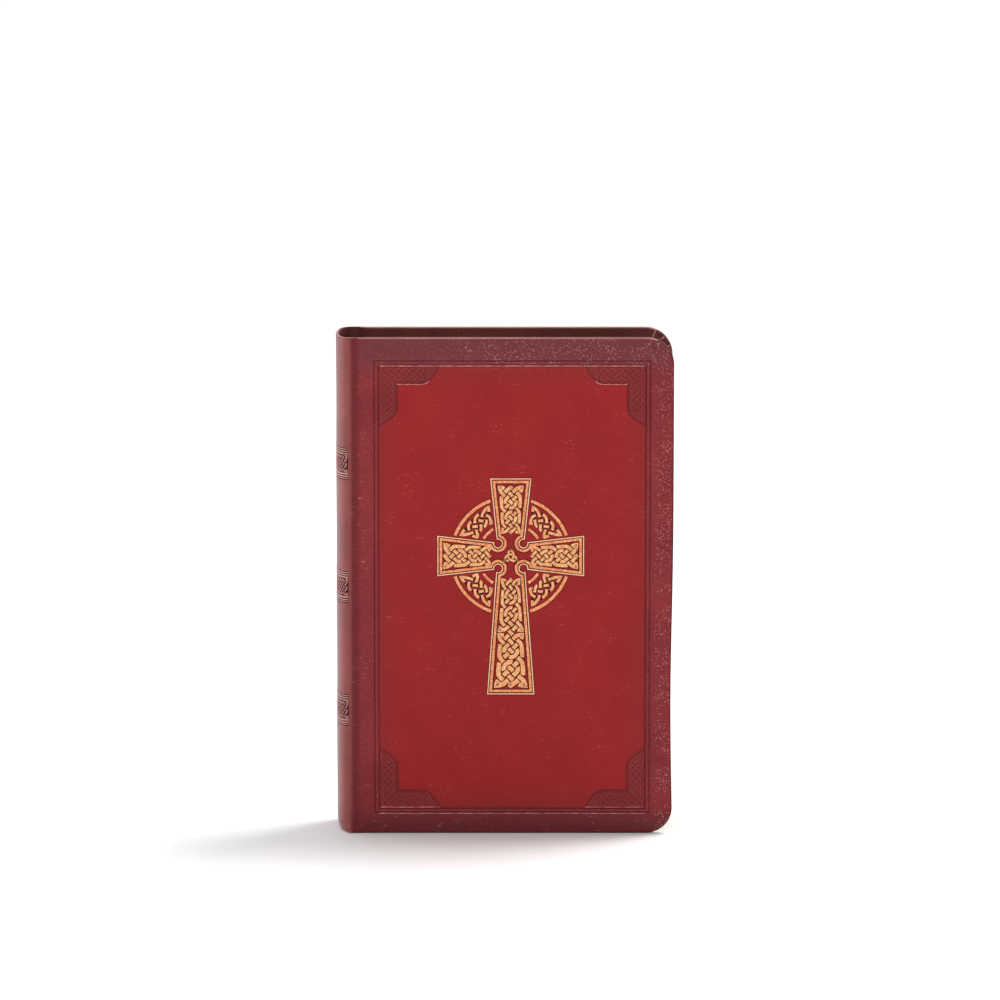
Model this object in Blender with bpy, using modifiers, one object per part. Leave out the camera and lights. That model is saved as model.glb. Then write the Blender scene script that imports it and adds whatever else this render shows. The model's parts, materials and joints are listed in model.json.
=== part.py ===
"""Pocket prayer book with a limp leather binding, standing upright and closed.

Metres, +Z up.  The book stands on its tail edge, the front cover faces -Y, the spine is at -X
and the fore-edge at +X.  The origin is the middle of the footprint.  Both covers hinge on the
upright creases beside the spine, and the sewn sections turn about their folds at the spine.
"""
import math

import bmesh
import bpy
from mathutils import Matrix, Vector

# ---------------------------------------------------------------- driving dimensions
HEIGHT = 0.173            # cover height, tail to head
WIDTH = 0.116             # spine bulge to fore-edge
THICKNESS = 0.028         # outer face to outer face of the covers
GAP = 0.0003              # clearance between neighbouring pieces

LEATHER = 0.0008          # cover leather
BOARD = 0.0007            # cover board
LINER = 0.0005            # turn-in and pastedown
COVER = LEATHER + BOARD + LINER + 2 * GAP
CORNER_RADIUS = 0.0094    # fore-edge corners of the covers
EDGE_ROUND = 0.0007       # rounding of the leather edges
TURN_IN = 0.009           # leather turned over onto the inside of the cover
EDGE_WALL = 0.0012        # leather round the edge of the board
JOINT_STRIP = 0.004       # unboarded leather beside each crease

SPINE_BULGE = 0.0048      # spine back beyond the crease
SPINE_SETBACK = 0.0003    # spine leather lies this much inside the covers' outer faces
SPINE_POWER = 2.4         # squareness of the spine's rounding
CREASE_GAP = 0.0006       # spine leather stops this far short of the crease
INLAY = 0.0006            # card strip inside the spine leather
INLAY_INSET = 0.004       # the card stops this far short of the head and tail
INLAY_CREASE_GAP = 0.0016 # and of the creases

LEAF_HEIGHT = 0.163
LEAF_WIDTH = 0.1025
LEAF_CORNER = 0.0065      # rounded fore-edge corners of the pages
FLYLEAF = 0.00025
SECTIONS = 12
FOLD_SLOPE = 0.004        # the folded edge of a section tapers over this width
FOLD_X = -0.0504          # fold of the outermost sections
BACK_ROUND = 0.0018       # rounding of the sewn back

MULL = 0.0003             # gauze glued over the folds
MULL_INSET = 0.010        # short of the ends of the pages
LINING = 0.0004           # paper over the gauze
LINING_INSET = 0.013      # short of the ends of the pages
BAND_RADIUS = 0.0011      # headband and tailband
BAND_INSET = 0.0002       # below the ends of the pages

CROSS_WIDTH = 0.0502
CROSS_HEIGHT = 0.0752
CROSS_RISE = 0.0108       # ring centre above the middle of the cover
CROSS_OFFSET = 0.0021     # ring centre to the right of the middle of the book
CROSS_HEAD = 0.0269       # top of the upper arm above the ring centre
CROSS_NECK = 0.0048       # half width of the arms where they meet
CROSS_ARM_END = 0.0070    # half width of the ends of the upper and side arms
CROSS_FOOT_END = 0.0081   # half width of the foot
RING_OUTER = 0.0211
RING_INNER = 0.0104
FOIL = 0.00015
FOIL_RECESS = 0.00050     # depth of the stamped bed

# ---------------------------------------------------------------- worked out
X_SPINE = -WIDTH / 2
X_FORE = WIDTH / 2
X_CREASE = X_SPINE + SPINE_BULGE
Y_COVER = THICKNESS / 2
Y_INNER = Y_COVER - COVER
Y_FLYLEAF = Y_INNER - GAP
Y_FIRST = Y_FLYLEAF - FLYLEAF - GAP
SECTION_PITCH = (2 * Y_FIRST + GAP) / SECTIONS
SECTION = SECTION_PITCH - GAP
MIDDLE_Z = HEIGHT / 2
LEAF_Z = MIDDLE_Z - LEAF_HEIGHT / 2

COLOURS = {
    "leather": ((0.235, 0.030, 0.034, 1.0), 0.48, 0.0),
    "spine_leather": ((0.300, 0.070, 0.072, 1.0), 0.50, 0.0),
    "board": ((0.36, 0.33, 0.28, 1.0), 0.85, 0.0),
    "endpaper": ((0.80, 0.75, 0.64, 1.0), 0.75, 0.0),
    "foil": ((0.83, 0.50, 0.24, 1.0), 0.30, 1.0),
    "pages": ((0.86, 0.82, 0.72, 1.0), 0.80, 0.0),
    "gauze": ((0.78, 0.75, 0.66, 1.0), 0.90, 0.0),
    "lining": ((0.50, 0.38, 0.26, 1.0), 0.85, 0.0),
    "band": ((0.55, 0.09, 0.08, 1.0), 0.70, 0.0),
}


# ---------------------------------------------------------------- helpers
def clear_scene():
    for obj in list(bpy.data.objects):
        bpy.data.objects.remove(obj, do_unlink=True)


def new_collection(name):
    collection = bpy.data.collections.new(name)
    bpy.context.scene.collection.children.link(collection)
    return collection


def material(name):
    found = bpy.data.materials.get(name)
    if found:
        return found
    colour, roughness, metallic = COLOURS[name]
    made = bpy.data.materials.new(name)
    made.use_nodes = True
    shader = made.node_tree.nodes["Principled BSDF"]
    shader.inputs["Base Color"].default_value = colour
    shader.inputs["Roughness"].default_value = roughness
    shader.inputs["Metallic"].default_value = metallic
    return made


def add_object(name, bm, material_name, origin=(0.0, 0.0, 0.0), parent=None, cutter=False):
    """Turn a bmesh drawn in world coordinates into an object with its origin at `origin`."""
    bmesh.ops.remove_doubles(bm, verts=bm.verts, dist=1e-6)
    bmesh.ops.recalc_face_normals(bm, faces=bm.faces)
    bmesh.ops.translate(bm, verts=bm.verts, vec=-Vector(origin))
    mesh = bpy.data.meshes.new(name)
    bm.to_mesh(mesh)
    bm.free()
    obj = bpy.data.objects.new(name, mesh)
    if cutter:
        CUTTERS.objects.link(obj)
        obj.display_type = "WIRE"
        obj.hide_render = True
    else:
        BOOK.objects.link(obj)
        mesh.materials.append(material(material_name))
    obj.location = Vector(origin)
    if parent is not None:
        obj.parent = parent
        obj.location = Vector(origin) - parent.location
    return obj


def cut(obj, cutter):
    modifier = obj.modifiers.new("cut " + cutter.name, "BOOLEAN")
    modifier.operation = "DIFFERENCE"
    modifier.solver = "EXACT"
    modifier.object = cutter


def arc(centre_x, centre_y, radius, start, end, steps):
    """Points of a circular arc, angles in degrees, both ends included."""
    points = []
    for step in range(steps + 1):
        angle = math.radians(start + (end - start) * step / steps)
        points.append((centre_x + radius * math.cos(angle), centre_y + radius * math.sin(angle)))
    return points


def cover_outline(left, right, low, high, radius, steps=10):
    """Rectangle in x, z with its two fore-edge corners rounded."""
    points = [(left, low)]
    points += arc(right - radius, low + radius, radius, -90, 0, steps)
    points += arc(right - radius, high - radius, radius, 0, 90, steps)
    points.append((left, high))
    return points


def upright_slab(outline, y_start, y_end):
    """Prism of an x, z outline between two y planes."""
    bm = bmesh.new()
    face = bm.faces.new([bm.verts.new((x, y_start, z)) for x, z in outline])
    grown = bmesh.ops.extrude_face_region(bm, geom=[face])
    moved = [item for item in grown["geom"] if isinstance(item, bmesh.types.BMVert)]
    bmesh.ops.translate(bm, verts=moved, vec=(0.0, y_end - y_start, 0.0))
    return bm


def column(outline, low, high):
    """Prism of an x, y outline between two heights."""
    bm = bmesh.new()
    face = bm.faces.new([bm.verts.new((x, y, low)) for x, y in outline])
    grown = bmesh.ops.extrude_face_region(bm, geom=[face])
    moved = [item for item in grown["geom"] if isinstance(item, bmesh.types.BMVert)]
    bmesh.ops.translate(bm, verts=moved, vec=(0.0, 0.0, high - low))
    return bm


def box(x_low, x_high, y_low, y_high, z_low, z_high):
    size = Vector((x_high - x_low, y_high - y_low, z_high - z_low))
    middle = Vector((x_high + x_low, y_high + y_low, z_high + z_low)) / 2
    bm = bmesh.new()
    bmesh.ops.create_cube(bm, size=1.0, matrix=Matrix.Translation(middle) @ Matrix.Diagonal((*size, 1.0)))
    return bm


def hinge_empty(name, x, y):
    empty = bpy.data.objects.new(name, None)
    empty.location = (x, y, 0.0)
    empty.empty_display_size = 0.01
    BOOK.objects.link(empty)
    return empty


# ---------------------------------------------------------------- spine
def spine_profile(offset, gap_to_crease, steps=28):
    """Rounded back of the book in plan, `offset` inside the outer leather face, front to back."""
    half = Y_COVER - SPINE_SETBACK - offset
    bulge = SPINE_BULGE - offset
    reach = (gap_to_crease / bulge) ** SPINE_POWER
    widest = (1.0 - reach) ** (1.0 / SPINE_POWER)
    points = []
    for step in range(steps + 1):
        turn = -math.pi / 2 + math.pi * step / steps
        across = math.sin(turn) * widest
        depth = bulge * (1.0 - abs(across) ** SPINE_POWER) ** (1.0 / SPINE_POWER)
        points.append((X_CREASE - depth, across * half))
    return points


def shell_between(outer, inner, low, high):
    return column(outer + inner[::-1], low, high)


def fold_line(y):
    """x of the rounded back of the sewn sections at depth y."""
    return FOLD_X - BACK_ROUND * (1.0 - (y / Y_INNER) ** 2)


def back_line(offset, half, steps=12):
    """Plan curve that follows the sewn back at a distance behind it."""
    points = []
    for step in range(steps + 1):
        y = -half + 2 * half * step / steps
        points.append((fold_line(y) - offset, y))
    return points


def build_spine():
    outer = spine_profile(0.0, CREASE_GAP)
    inner = spine_profile(LEATHER, CREASE_GAP)
    add_object("spine_leather", shell_between(outer, inner, 0.0, HEIGHT), "spine_leather")

    inlay_outer = spine_profile(LEATHER + GAP, INLAY_CREASE_GAP)
    inlay_inner = spine_profile(LEATHER + GAP + INLAY, INLAY_CREASE_GAP - INLAY)
    inlay = shell_between(inlay_outer, inlay_inner, INLAY_INSET, HEIGHT - INLAY_INSET)
    add_object("spine_inlay", inlay, "board")

    half = Y_FIRST - 0.0005
    top = LEAF_Z + LEAF_HEIGHT
    mull_outer = back_line(GAP + MULL, half)
    mull = shell_between(mull_outer, back_line(GAP, half), LEAF_Z + MULL_INSET, top - MULL_INSET)
    add_object("spine_mull", mull, "gauze")
    start = 2 * GAP + MULL
    lining_outer = back_line(start + LINING, half)
    lining = shell_between(lining_outer, back_line(start, half), LEAF_Z + LINING_INSET, top - LINING_INSET)
    add_object("spine_lining", lining, "lining")


def swept_bead(points, radius):
    """Round bead along a line of points, with closed ends."""
    curve = bpy.data.curves.new("bead", "CURVE")
    curve.dimensions = "3D"
    curve.bevel_depth = radius
    curve.bevel_resolution = 4
    curve.use_fill_caps = True
    spline = curve.splines.new("POLY")
    spline.points.add(len(points) - 1)
    for spot, point in zip(spline.points, points):
        spot.co = (*point, 1.0)
    guide = bpy.data.objects.new("bead", curve)
    bm = bmesh.new()
    bm.from_mesh(guide.to_mesh())
    bpy.data.objects.remove(guide, do_unlink=True)
    return bm


def build_band(name, z):
    """Worked band across the end of the sewn back, close behind the folds."""
    line = back_line(GAP + BAND_RADIUS, Y_FIRST - 0.0012, steps=16)
    bead = swept_bead([(x, y, z) for x, y in line], BAND_RADIUS)
    obj = add_object(name, bead, "band")
    for face in obj.data.polygons:
        face.use_smooth = len(face.vertices) == 4


# ---------------------------------------------------------------- covers
def build_cover(prefix, side, parent):
    """One limp cover: leather tray with turned-in edges, thin board and pastedown."""
    outside = side * Y_COVER
    hinge = (X_CREASE, outside, 0.0)
    left = X_CREASE + GAP / 2
    body = upright_slab(cover_outline(left, X_FORE, 0.0, HEIGHT, CORNER_RADIUS), outside,
                        outside - side * COVER)
    leather = add_object(prefix + "_leather", body, "leather", hinge, parent)
    soften = leather.modifiers.new("soft edges", "BEVEL")
    soften.width = EDGE_ROUND
    soften.segments = 2
    soften.limit_method = "ANGLE"
    soften.angle_limit = math.radians(60)

    board_left = left + JOINT_STRIP + EDGE_WALL
    strip_depths = sorted((outside - side * LEATHER, outside - side * (COVER + 0.001)))
    step = box(left - 0.002, left + JOINT_STRIP, *strip_depths, -0.001, HEIGHT + 0.001)
    cut(leather, add_object(prefix + "_step_cutter", step, None, cutter=True))
    pocket_outline = cover_outline(board_left, X_FORE - EDGE_WALL, EDGE_WALL, HEIGHT - EDGE_WALL,
                                   CORNER_RADIUS - EDGE_WALL)
    pocket = upright_slab(pocket_outline, outside - side * LEATHER, outside - side * (COVER - LINER))
    cut(leather, add_object(prefix + "_pocket_cutter", pocket, None, cutter=True))
    window_left = board_left + 0.002
    window_outline = cover_outline(window_left, X_FORE - TURN_IN, TURN_IN, HEIGHT - TURN_IN, 0.004, 4)
    window = upright_slab(window_outline, outside - side * (COVER - LINER - 0.0002),
                          outside - side * (COVER + 0.001))
    cut(leather, add_object(prefix + "_window_cutter", window, None, cutter=True))

    board_outline = cover_outline(board_left + GAP, X_FORE - EDGE_WALL - GAP, EDGE_WALL + GAP,
                                  HEIGHT - EDGE_WALL - GAP, CORNER_RADIUS - EDGE_WALL - GAP)
    board_face = outside - side * (LEATHER + GAP)
    board = upright_slab(board_outline, board_face, board_face - side * BOARD)
    add_object(prefix + "_board", board, "board", hinge, parent)

    sheet_outline = cover_outline(window_left + GAP, X_FORE - TURN_IN - GAP, TURN_IN + GAP,
                                  HEIGHT - TURN_IN - GAP, 0.004 - GAP, 4)
    sheet_face = outside - side * (COVER - LINER)
    sheet = upright_slab(sheet_outline, sheet_face, sheet_face - side * LINER)
    add_object(prefix + "_pastedown", sheet, "endpaper", hinge, parent)
    return leather


# ---------------------------------------------------------------- foil cross
def cross_outline(grow):
    """Four flared arms in x, z about the ring centre, widened by `grow`."""
    tip = CROSS_WIDTH / 2 + grow
    head = CROSS_HEAD + grow
    foot = CROSS_HEIGHT - CROSS_HEAD + grow
    neck = CROSS_NECK + grow
    end = CROSS_ARM_END + grow
    low_end = CROSS_FOOT_END + grow
    return [(-neck, neck), (-tip, end), (-tip, -end), (-neck, -neck), (-low_end, -foot), (low_end, -foot),
            (neck, -neck), (tip, -end), (tip, end), (neck, neck), (end, head), (-end, head)]


def on_cover(points):
    return [(x + CROSS_OFFSET, z + MIDDLE_Z + CROSS_RISE) for x, z in points]


def ring_tube(inner, outer, y_start, y_end, steps=48):
    """Flat ring about the cross centre: a rectangle spun about the ring's axis."""
    centre_x, centre_z = on_cover([(0.0, 0.0)])[0]
    bm = bmesh.new()
    corners = ((inner, y_start), (outer, y_start), (outer, y_end), (inner, y_end))
    section = [bm.verts.new((centre_x + radius, y, centre_z)) for radius, y in corners]
    edges = [bm.edges.new((section[index - 1], section[index])) for index in range(4)]
    bmesh.ops.spin(bm, geom=section + edges, cent=(centre_x, 0.0, centre_z), axis=(0.0, 1.0, 0.0),
                   angle=2 * math.pi, steps=steps, use_merge=True)
    return bm


def build_foil_cross(parent, leather):
    """Ringed cross of metal foil lying in a bed stamped into the front leather."""
    hinge = (X_CREASE, -Y_COVER, 0.0)
    face = -Y_COVER + 0.00005
    foil = add_object("front_foil_cross", upright_slab(on_cover(cross_outline(0.0)), face, face + FOIL),
                      "foil", hinge, parent)
    ring = ring_tube(RING_INNER, RING_OUTER, face, face + FOIL)
    join = foil.modifiers.new("ring", "BOOLEAN")
    join.operation = "UNION"
    join.solver = "EXACT"
    join.object = add_object("foil_ring_blank", ring, None, cutter=True)

    bed = upright_slab(on_cover(cross_outline(GAP)), -Y_COVER - 0.001, -Y_COVER + FOIL_RECESS)
    cut(leather, add_object("cross_bed_cutter", bed, None, cutter=True))
    ring_bed = ring_tube(RING_INNER - GAP, RING_OUTER + GAP, -Y_COVER - 0.001, -Y_COVER + FOIL_RECESS)
    cut(leather, add_object("ring_bed_cutter", ring_bed, None, cutter=True))


# ---------------------------------------------------------------- pages
def build_leaf_block(name, side, y_outer, depth, fold_slope, paper):
    """Folded sheets with rounded fore-edge corners; the fold tapers to the hinge line."""
    left = fold_line(y_outer)
    outline = cover_outline(left, left + LEAF_WIDTH, LEAF_Z, LEAF_Z + LEAF_HEIGHT, LEAF_CORNER, 6)
    block = upright_slab(outline, side * y_outer, side * (y_outer - depth))
    for vert in block.verts:
        inward = abs(vert.co.y - side * (y_outer - depth)) < 1e-7
        if inward and abs(vert.co.x - left) < 1e-7:
            vert.co.x += fold_slope
    pivot = hinge_empty(name + "_pivot", left, side * y_outer)
    add_object(name, block, paper, pivot.location, pivot)


def build_pages():
    for prefix, side in (("front", -1), ("back", 1)):
        build_leaf_block(prefix + "_flyleaf", side, Y_FLYLEAF, FLYLEAF, 0.0, "endpaper")
    for number in range(1, SECTIONS + 1):
        from_cover = min(number, SECTIONS + 1 - number) - 1
        side = -1 if number <= SECTIONS // 2 else 1
        name = "section_%02d" % number
        y_outer = Y_FIRST - from_cover * SECTION_PITCH
        build_leaf_block(name, side, y_outer, SECTION, FOLD_SLOPE, "pages")


# ---------------------------------------------------------------- assembly
def build_book():
    build_spine()
    build_band("headband", LEAF_Z + LEAF_HEIGHT - BAND_RADIUS - BAND_INSET)
    build_band("tailband", LEAF_Z + BAND_RADIUS + BAND_INSET)
    front_hinge = hinge_empty("front_hinge", X_CREASE, -Y_COVER)
    back_hinge = hinge_empty("back_hinge", X_CREASE, Y_COVER)
    front_leather = build_cover("front", -1, front_hinge)
    build_cover("back", 1, back_hinge)
    build_foil_cross(front_hinge, front_leather)
    build_pages()


clear_scene()
BOOK = new_collection("prayer_book")
CUTTERS = new_collection("cutters")
build_book()
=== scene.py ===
"""Looks of the pocket prayer book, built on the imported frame.

The cover leather, its blind stamping, the foil cross, the page sections and the bands are modelled here
as geometry.  Lengths are in metres, in the frame of the book: +Z from tail to head, front cover on -Y.
"""
import json
import math

import bmesh
import bpy
import numpy as np
from mathutils import Matrix, Vector


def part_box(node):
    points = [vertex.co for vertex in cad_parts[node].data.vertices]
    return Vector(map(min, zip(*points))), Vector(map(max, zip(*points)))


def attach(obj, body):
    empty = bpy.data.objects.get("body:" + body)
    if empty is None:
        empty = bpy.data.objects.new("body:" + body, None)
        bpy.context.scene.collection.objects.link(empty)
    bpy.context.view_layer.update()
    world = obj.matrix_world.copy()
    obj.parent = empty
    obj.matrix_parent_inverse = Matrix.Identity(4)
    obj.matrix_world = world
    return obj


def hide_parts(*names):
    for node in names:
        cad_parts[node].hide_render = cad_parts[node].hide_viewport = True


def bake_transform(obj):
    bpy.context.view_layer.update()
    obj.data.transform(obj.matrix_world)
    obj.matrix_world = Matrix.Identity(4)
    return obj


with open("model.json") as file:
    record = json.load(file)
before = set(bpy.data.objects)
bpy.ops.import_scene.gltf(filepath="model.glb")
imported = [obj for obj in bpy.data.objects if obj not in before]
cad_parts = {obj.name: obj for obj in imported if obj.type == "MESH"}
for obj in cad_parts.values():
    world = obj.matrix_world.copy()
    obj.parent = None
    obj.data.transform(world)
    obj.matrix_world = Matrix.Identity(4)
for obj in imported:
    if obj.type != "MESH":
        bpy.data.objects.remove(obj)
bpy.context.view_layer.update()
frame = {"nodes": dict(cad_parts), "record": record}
MM = 0.001
TINY = 1e-9                     # metres that count as nothing

# ---------------------------------------------------------------- places taken from the frame
JOINTS = {joint["name"]: joint for joint in frame["record"]["behaviour"]["joints"]}
LEATHER_LOW, LEATHER_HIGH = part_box("front_leather")
SHEET_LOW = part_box("front_pastedown")[0]
HEIGHT = LEATHER_HIGH[2]
X_FORE = LEATHER_HIGH[0]
X_CREASE = JOINTS["front_cover_hinge"]["pos_m"][0]
Y_COVER = -LEATHER_LOW[1]
COVER = LEATHER_HIGH[1] - LEATHER_LOW[1]
X_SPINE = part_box("spine_leather")[0][0]
Y_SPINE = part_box("spine_leather")[1][1]
TURN_IN = SHEET_LOW[2] - 0.05 * MM
X_TURN_IN = SHEET_LOW[0] - 0.05 * MM

# ---------------------------------------------------------------- sizes of the looks
CORNER = 9.4 * MM               # round fore-edge corners of the covers
RIM = 5.5 * MM                  # rounded rings of the cover mesh reach this far in
EDGE_ROUND = 1.1 * MM
LEATHER = 0.8 * MM
EDGE_LEATHER = LEATHER + 0.35 * MM
STRIP_END = X_CREASE + 3.0 * MM
STRIP_START = X_CREASE - 0.45 * MM
CREASE_DEPTH = 0.32 * MM
BORDER_ROLL = 0.45 * MM
SPINE_POWER = 2.4

FRAME_OUTER = {"left": 8.5 * MM, "right": 8.1 * MM, "top": 8.0 * MM, "bottom": 7.4 * MM}
FRAME_STEP = 1.45 * MM          # outer line to inner line
GROOVE_HALF = 0.33 * MM
GROOVE_DEPTH = 0.30 * MM

CROSS_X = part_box("front_foil_cross")[0][0] / 2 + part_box("front_foil_cross")[1][0] / 2
CROSS_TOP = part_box("front_foil_cross")[1][2]
CROSS_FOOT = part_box("front_foil_cross")[0][2]
CROSS_HALF = (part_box("front_foil_cross")[1][0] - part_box("front_foil_cross")[0][0]) / 2
CROSS_Z = CROSS_TOP - 26.9 * MM  # ring centre

# Heights of the three tooled bands of the spine.
BANDS = [HEIGHT / 2 - 0.2 * MM + step * 43.0 * MM for step in (-1, 0, 1)]
BAND_LINES = (3.95 * MM, 4.7 * MM, 5.4 * MM)    # stamped lines either side of the middle of a band
BAND_FLOOR = 3.6 * MM                           # half height of the sunk zone


# ---------------------------------------------------------------- node helpers
class Tree:
    """A node tree under construction; a method that adds nodes returns the socket they end in."""

    def __init__(self, owner):
        owner.use_nodes = True
        self.nodes = owner.node_tree.nodes
        self.links = owner.node_tree.links

    def feed(self, socket, value):
        """Link a socket, or set it to a plain value."""
        if isinstance(value, bpy.types.NodeSocket):
            self.links.new(value, socket)
        else:
            socket.default_value = value

    def space(self, kind, *scale):
        """Texture coordinates of a kind, scaled alike or by three factors."""
        coordinates = self.nodes.new("ShaderNodeTexCoord")
        mapping = self.nodes.new("ShaderNodeMapping")
        mapping.inputs["Scale"].default_value = scale if len(scale) == 3 else scale * 3
        self.links.new(coordinates.outputs[kind], mapping.inputs["Vector"])
        return mapping.outputs["Vector"]

    def noise(self, vector, scale, detail=3.0, roughness=0.5, distortion=0.0):
        node = self.nodes.new("ShaderNodeTexNoise")
        for socket, value in (("Scale", scale), ("Detail", detail), ("Roughness", roughness),
                              ("Distortion", distortion), ("Vector", vector)):
            self.feed(node.inputs[socket], value)
        return node.outputs["Fac"]

    def ramp(self, value, low, high, first=(0, 0, 0, 1), last=(1, 1, 1, 1)):
        node = self.nodes.new("ShaderNodeValToRGB")
        for stop, position, colour in zip(node.color_ramp.elements, (low, high), (first, last)):
            stop.position = position
            stop.color = colour
        self.links.new(value, node.inputs["Fac"])
        return node.outputs["Color"]

    def mix(self, factor, first, second, blend="MIX"):
        node = self.nodes.new("ShaderNodeMix")
        node.data_type = "RGBA"
        node.blend_type = blend
        for index, value in ((0, factor), (6, first), (7, second)):
            self.feed(node.inputs[index], value)
        return node.outputs[2]

    def maths(self, operation, *values):
        node = self.nodes.new("ShaderNodeMath")
        node.operation = operation
        for socket, value in zip(node.inputs, values):
            self.feed(socket, value)
        return node.outputs[0]

    def near_line(self, axis, middle, start, end):
        """0 beyond `start` from a line of constant x or height, rising to 1 within `end` of it."""
        split = self.nodes.new("ShaderNodeSeparateXYZ")
        self.links.new(self.nodes["Texture Coordinate"].outputs["UV"], split.inputs["Vector"])
        reach = self.nodes.new("ShaderNodeMapRange")
        reach.interpolation_type = "SMOOTHSTEP"
        reach.inputs["From Min"].default_value = start
        reach.inputs["From Max"].default_value = end
        away = self.maths("ABSOLUTE", self.maths("SUBTRACT", split.outputs[axis], middle))
        self.links.new(away, reach.inputs["Value"])
        return reach.outputs["Result"]


class Surface(Tree):
    """A material and its Principled shader; keywords set uniform values, underscores for spaces."""

    def __init__(self, name, **uniform):
        self.material = bpy.data.materials.new(name)
        super().__init__(self.material)
        self.shader = self.nodes["Principled BSDF"]
        self.below = None
        for socket, value in uniform.items():
            self.shader.inputs[socket.replace("_", " ")].default_value = value

    def colour(self, tone):
        self.links.new(tone, self.shader.inputs["Base Color"])

    def bump(self, height, strength, distance):
        """Lay a bump over the ones already there."""
        node = self.nodes.new("ShaderNodeBump")
        node.inputs["Strength"].default_value = strength
        node.inputs["Distance"].default_value = distance
        self.links.new(height, node.inputs["Height"])
        if self.below is not None:
            self.links.new(self.below, node.inputs["Normal"])
        self.below = node.outputs["Normal"]
        self.links.new(self.below, self.shader.inputs["Normal"])


# ---------------------------------------------------------------- materials
FLECKS_ELSEWHERE = 0.12         # strength of the pale specks away from the lines where painted glints gather
FLECKS_LEAST = 0.13             # and the least on a hide that has such lines


def leather(name, base, deep, pale, wear_and_glint=0.5, grain=1.0, roughness=0.42, shine=0.15, zones=(), sparkle=()):
    """Grained leather: pebbled bump, short level wrinkles with paler crests, bright flecks of pale specks and
    painted glints.

    Each zone is (axis, middle, start, end, colour): the colour takes over between two distances from
    a line of constant x or height; some zones are painted shade or sheen.  Away from the lines named in
    `sparkle` the flecks are faint pale specks; near them they gather as painted glints, and there more
    toward the fore-edge.
    """
    base, deep, pale = ((*colour, 1.0) for colour in (base, deep, pale))
    hide = Surface(name, Specular_IOR_Level=shine, Sheen_Weight=0.04, Sheen_Roughness=0.45,
                   Sheen_Tint=(1.0, 0.72, 0.70, 1.0))
    plane = hide.space("UV", 1000.0)
    pebble = hide.nodes.new("ShaderNodeTexVoronoi")
    pebble.feature = "SMOOTH_F1"
    pebble.inputs["Scale"].default_value = 1.9
    pebble.inputs["Smoothness"].default_value = 0.6
    hide.links.new(plane, pebble.inputs["Vector"])
    fine = hide.noise(plane, 3.4, 5.0, 0.65)
    cloud = hide.noise(plane, 0.055, 3.0, 0.55)
    cloud_fine = hide.noise(plane, 0.13, 3.0, 0.6)
    blotch = hide.noise(plane, 0.35, 4.0, 0.6)
    wrinkle = hide.noise(hide.space("UV", 520.0, 2300.0, 1000.0), 0.75, 4.0, 0.62, 0.9)
    where = hide.ramp(hide.noise(plane, 0.11, 2.0, 0.5), 0.50, 0.66)
    pale_crest = hide.maths("MULTIPLY", hide.ramp(wrinkle, 0.60, 0.74), where)
    fleck = hide.nodes.new("ShaderNodeTexVoronoi")
    fleck.inputs["Scale"].default_value = 1.25
    hide.links.new(hide.space("UV", 900.0, 1500.0, 1000.0), fleck.inputs["Vector"])
    flecks = hide.ramp(fleck.outputs["Distance"], 0.14, 0.30, (1, 1, 1, 1), (0, 0, 0, 1))

    tone = hide.mix(hide.ramp(cloud, 0.34, 0.66), deep, base)
    for axis, middle, start, end, colour in zones:
        tone = hide.mix(hide.near_line(axis, middle, start, end), tone, colour)
    # Painted glints: the flecks grow stronger near the `sparkle` lines.
    gather = FLECKS_ELSEWHERE
    for axis, middle, start, end in sparkle:
        gather = hide.maths("MAXIMUM", hide.near_line(axis, middle, start, end), gather)
    if sparkle:
        gather = hide.maths("MULTIPLY", gather, hide.near_line("X", X_FORE, 100 * MM, 50 * MM))
        gather = hide.maths("MAXIMUM", gather, FLECKS_LEAST)
    tone = hide.mix(hide.ramp(blotch, 0.45, 0.85, last=(0.35, 0.35, 0.35, 1)), tone, deep)
    tone = hide.mix(hide.maths("MULTIPLY", pale_crest, wear_and_glint), tone, pale)
    flecks = hide.maths("MULTIPLY", flecks, hide.ramp(cloud_fine, 0.38, 0.50))
    flecks = hide.maths("MULTIPLY", flecks, gather)
    tone = hide.mix(hide.maths("MULTIPLY", flecks, wear_and_glint), tone, pale)
    hollow = 1.0 - 0.28 * grain ** 2
    pits = hide.ramp(pebble.outputs["Distance"], 0.35, 0.75, (1, 1, 1, 1), (hollow, hollow, hollow, 1))
    hide.colour(hide.mix(1.0, tone, pits, "MULTIPLY"))
    hide.links.new(hide.maths("MULTIPLY_ADD", fine, 0.22, roughness - 0.11), hide.shader.inputs["Roughness"])
    hide.bump(pebble.outputs["Distance"], 0.45 * grain, 0.00012)
    hide.bump(fine, 0.5 * grain, 0.00007)
    hide.bump(pale_crest, 0.8 * grain, 0.00022)
    return hide.material


def foil_material(name, low, high):
    """Copper-gold stamping foil, slightly patchy where it took the grain of the leather, with pale specks
    painted as glints.
    """
    foil = Surface(name, Metallic=0.5)
    place = foil.space("Object", 1000.0)
    patch = foil.noise(place, 1.1, 4.0, 0.65)
    speck = foil.noise(place, 2.6, 3.0, 0.7)
    tone = foil.ramp(patch, 0.30, 0.72, low, high)
    # Painted glints: pale specks over the foil colour.
    foil.colour(foil.mix(foil.ramp(speck, 0.54, 0.64), tone, (1.0, 0.72, 0.36, 1)))
    foil.links.new(foil.maths("MULTIPLY_ADD", speck, 0.35, 0.22), foil.shader.inputs["Roughness"])
    foil.bump(speck, 0.35, 0.00004)
    return foil.material


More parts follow.
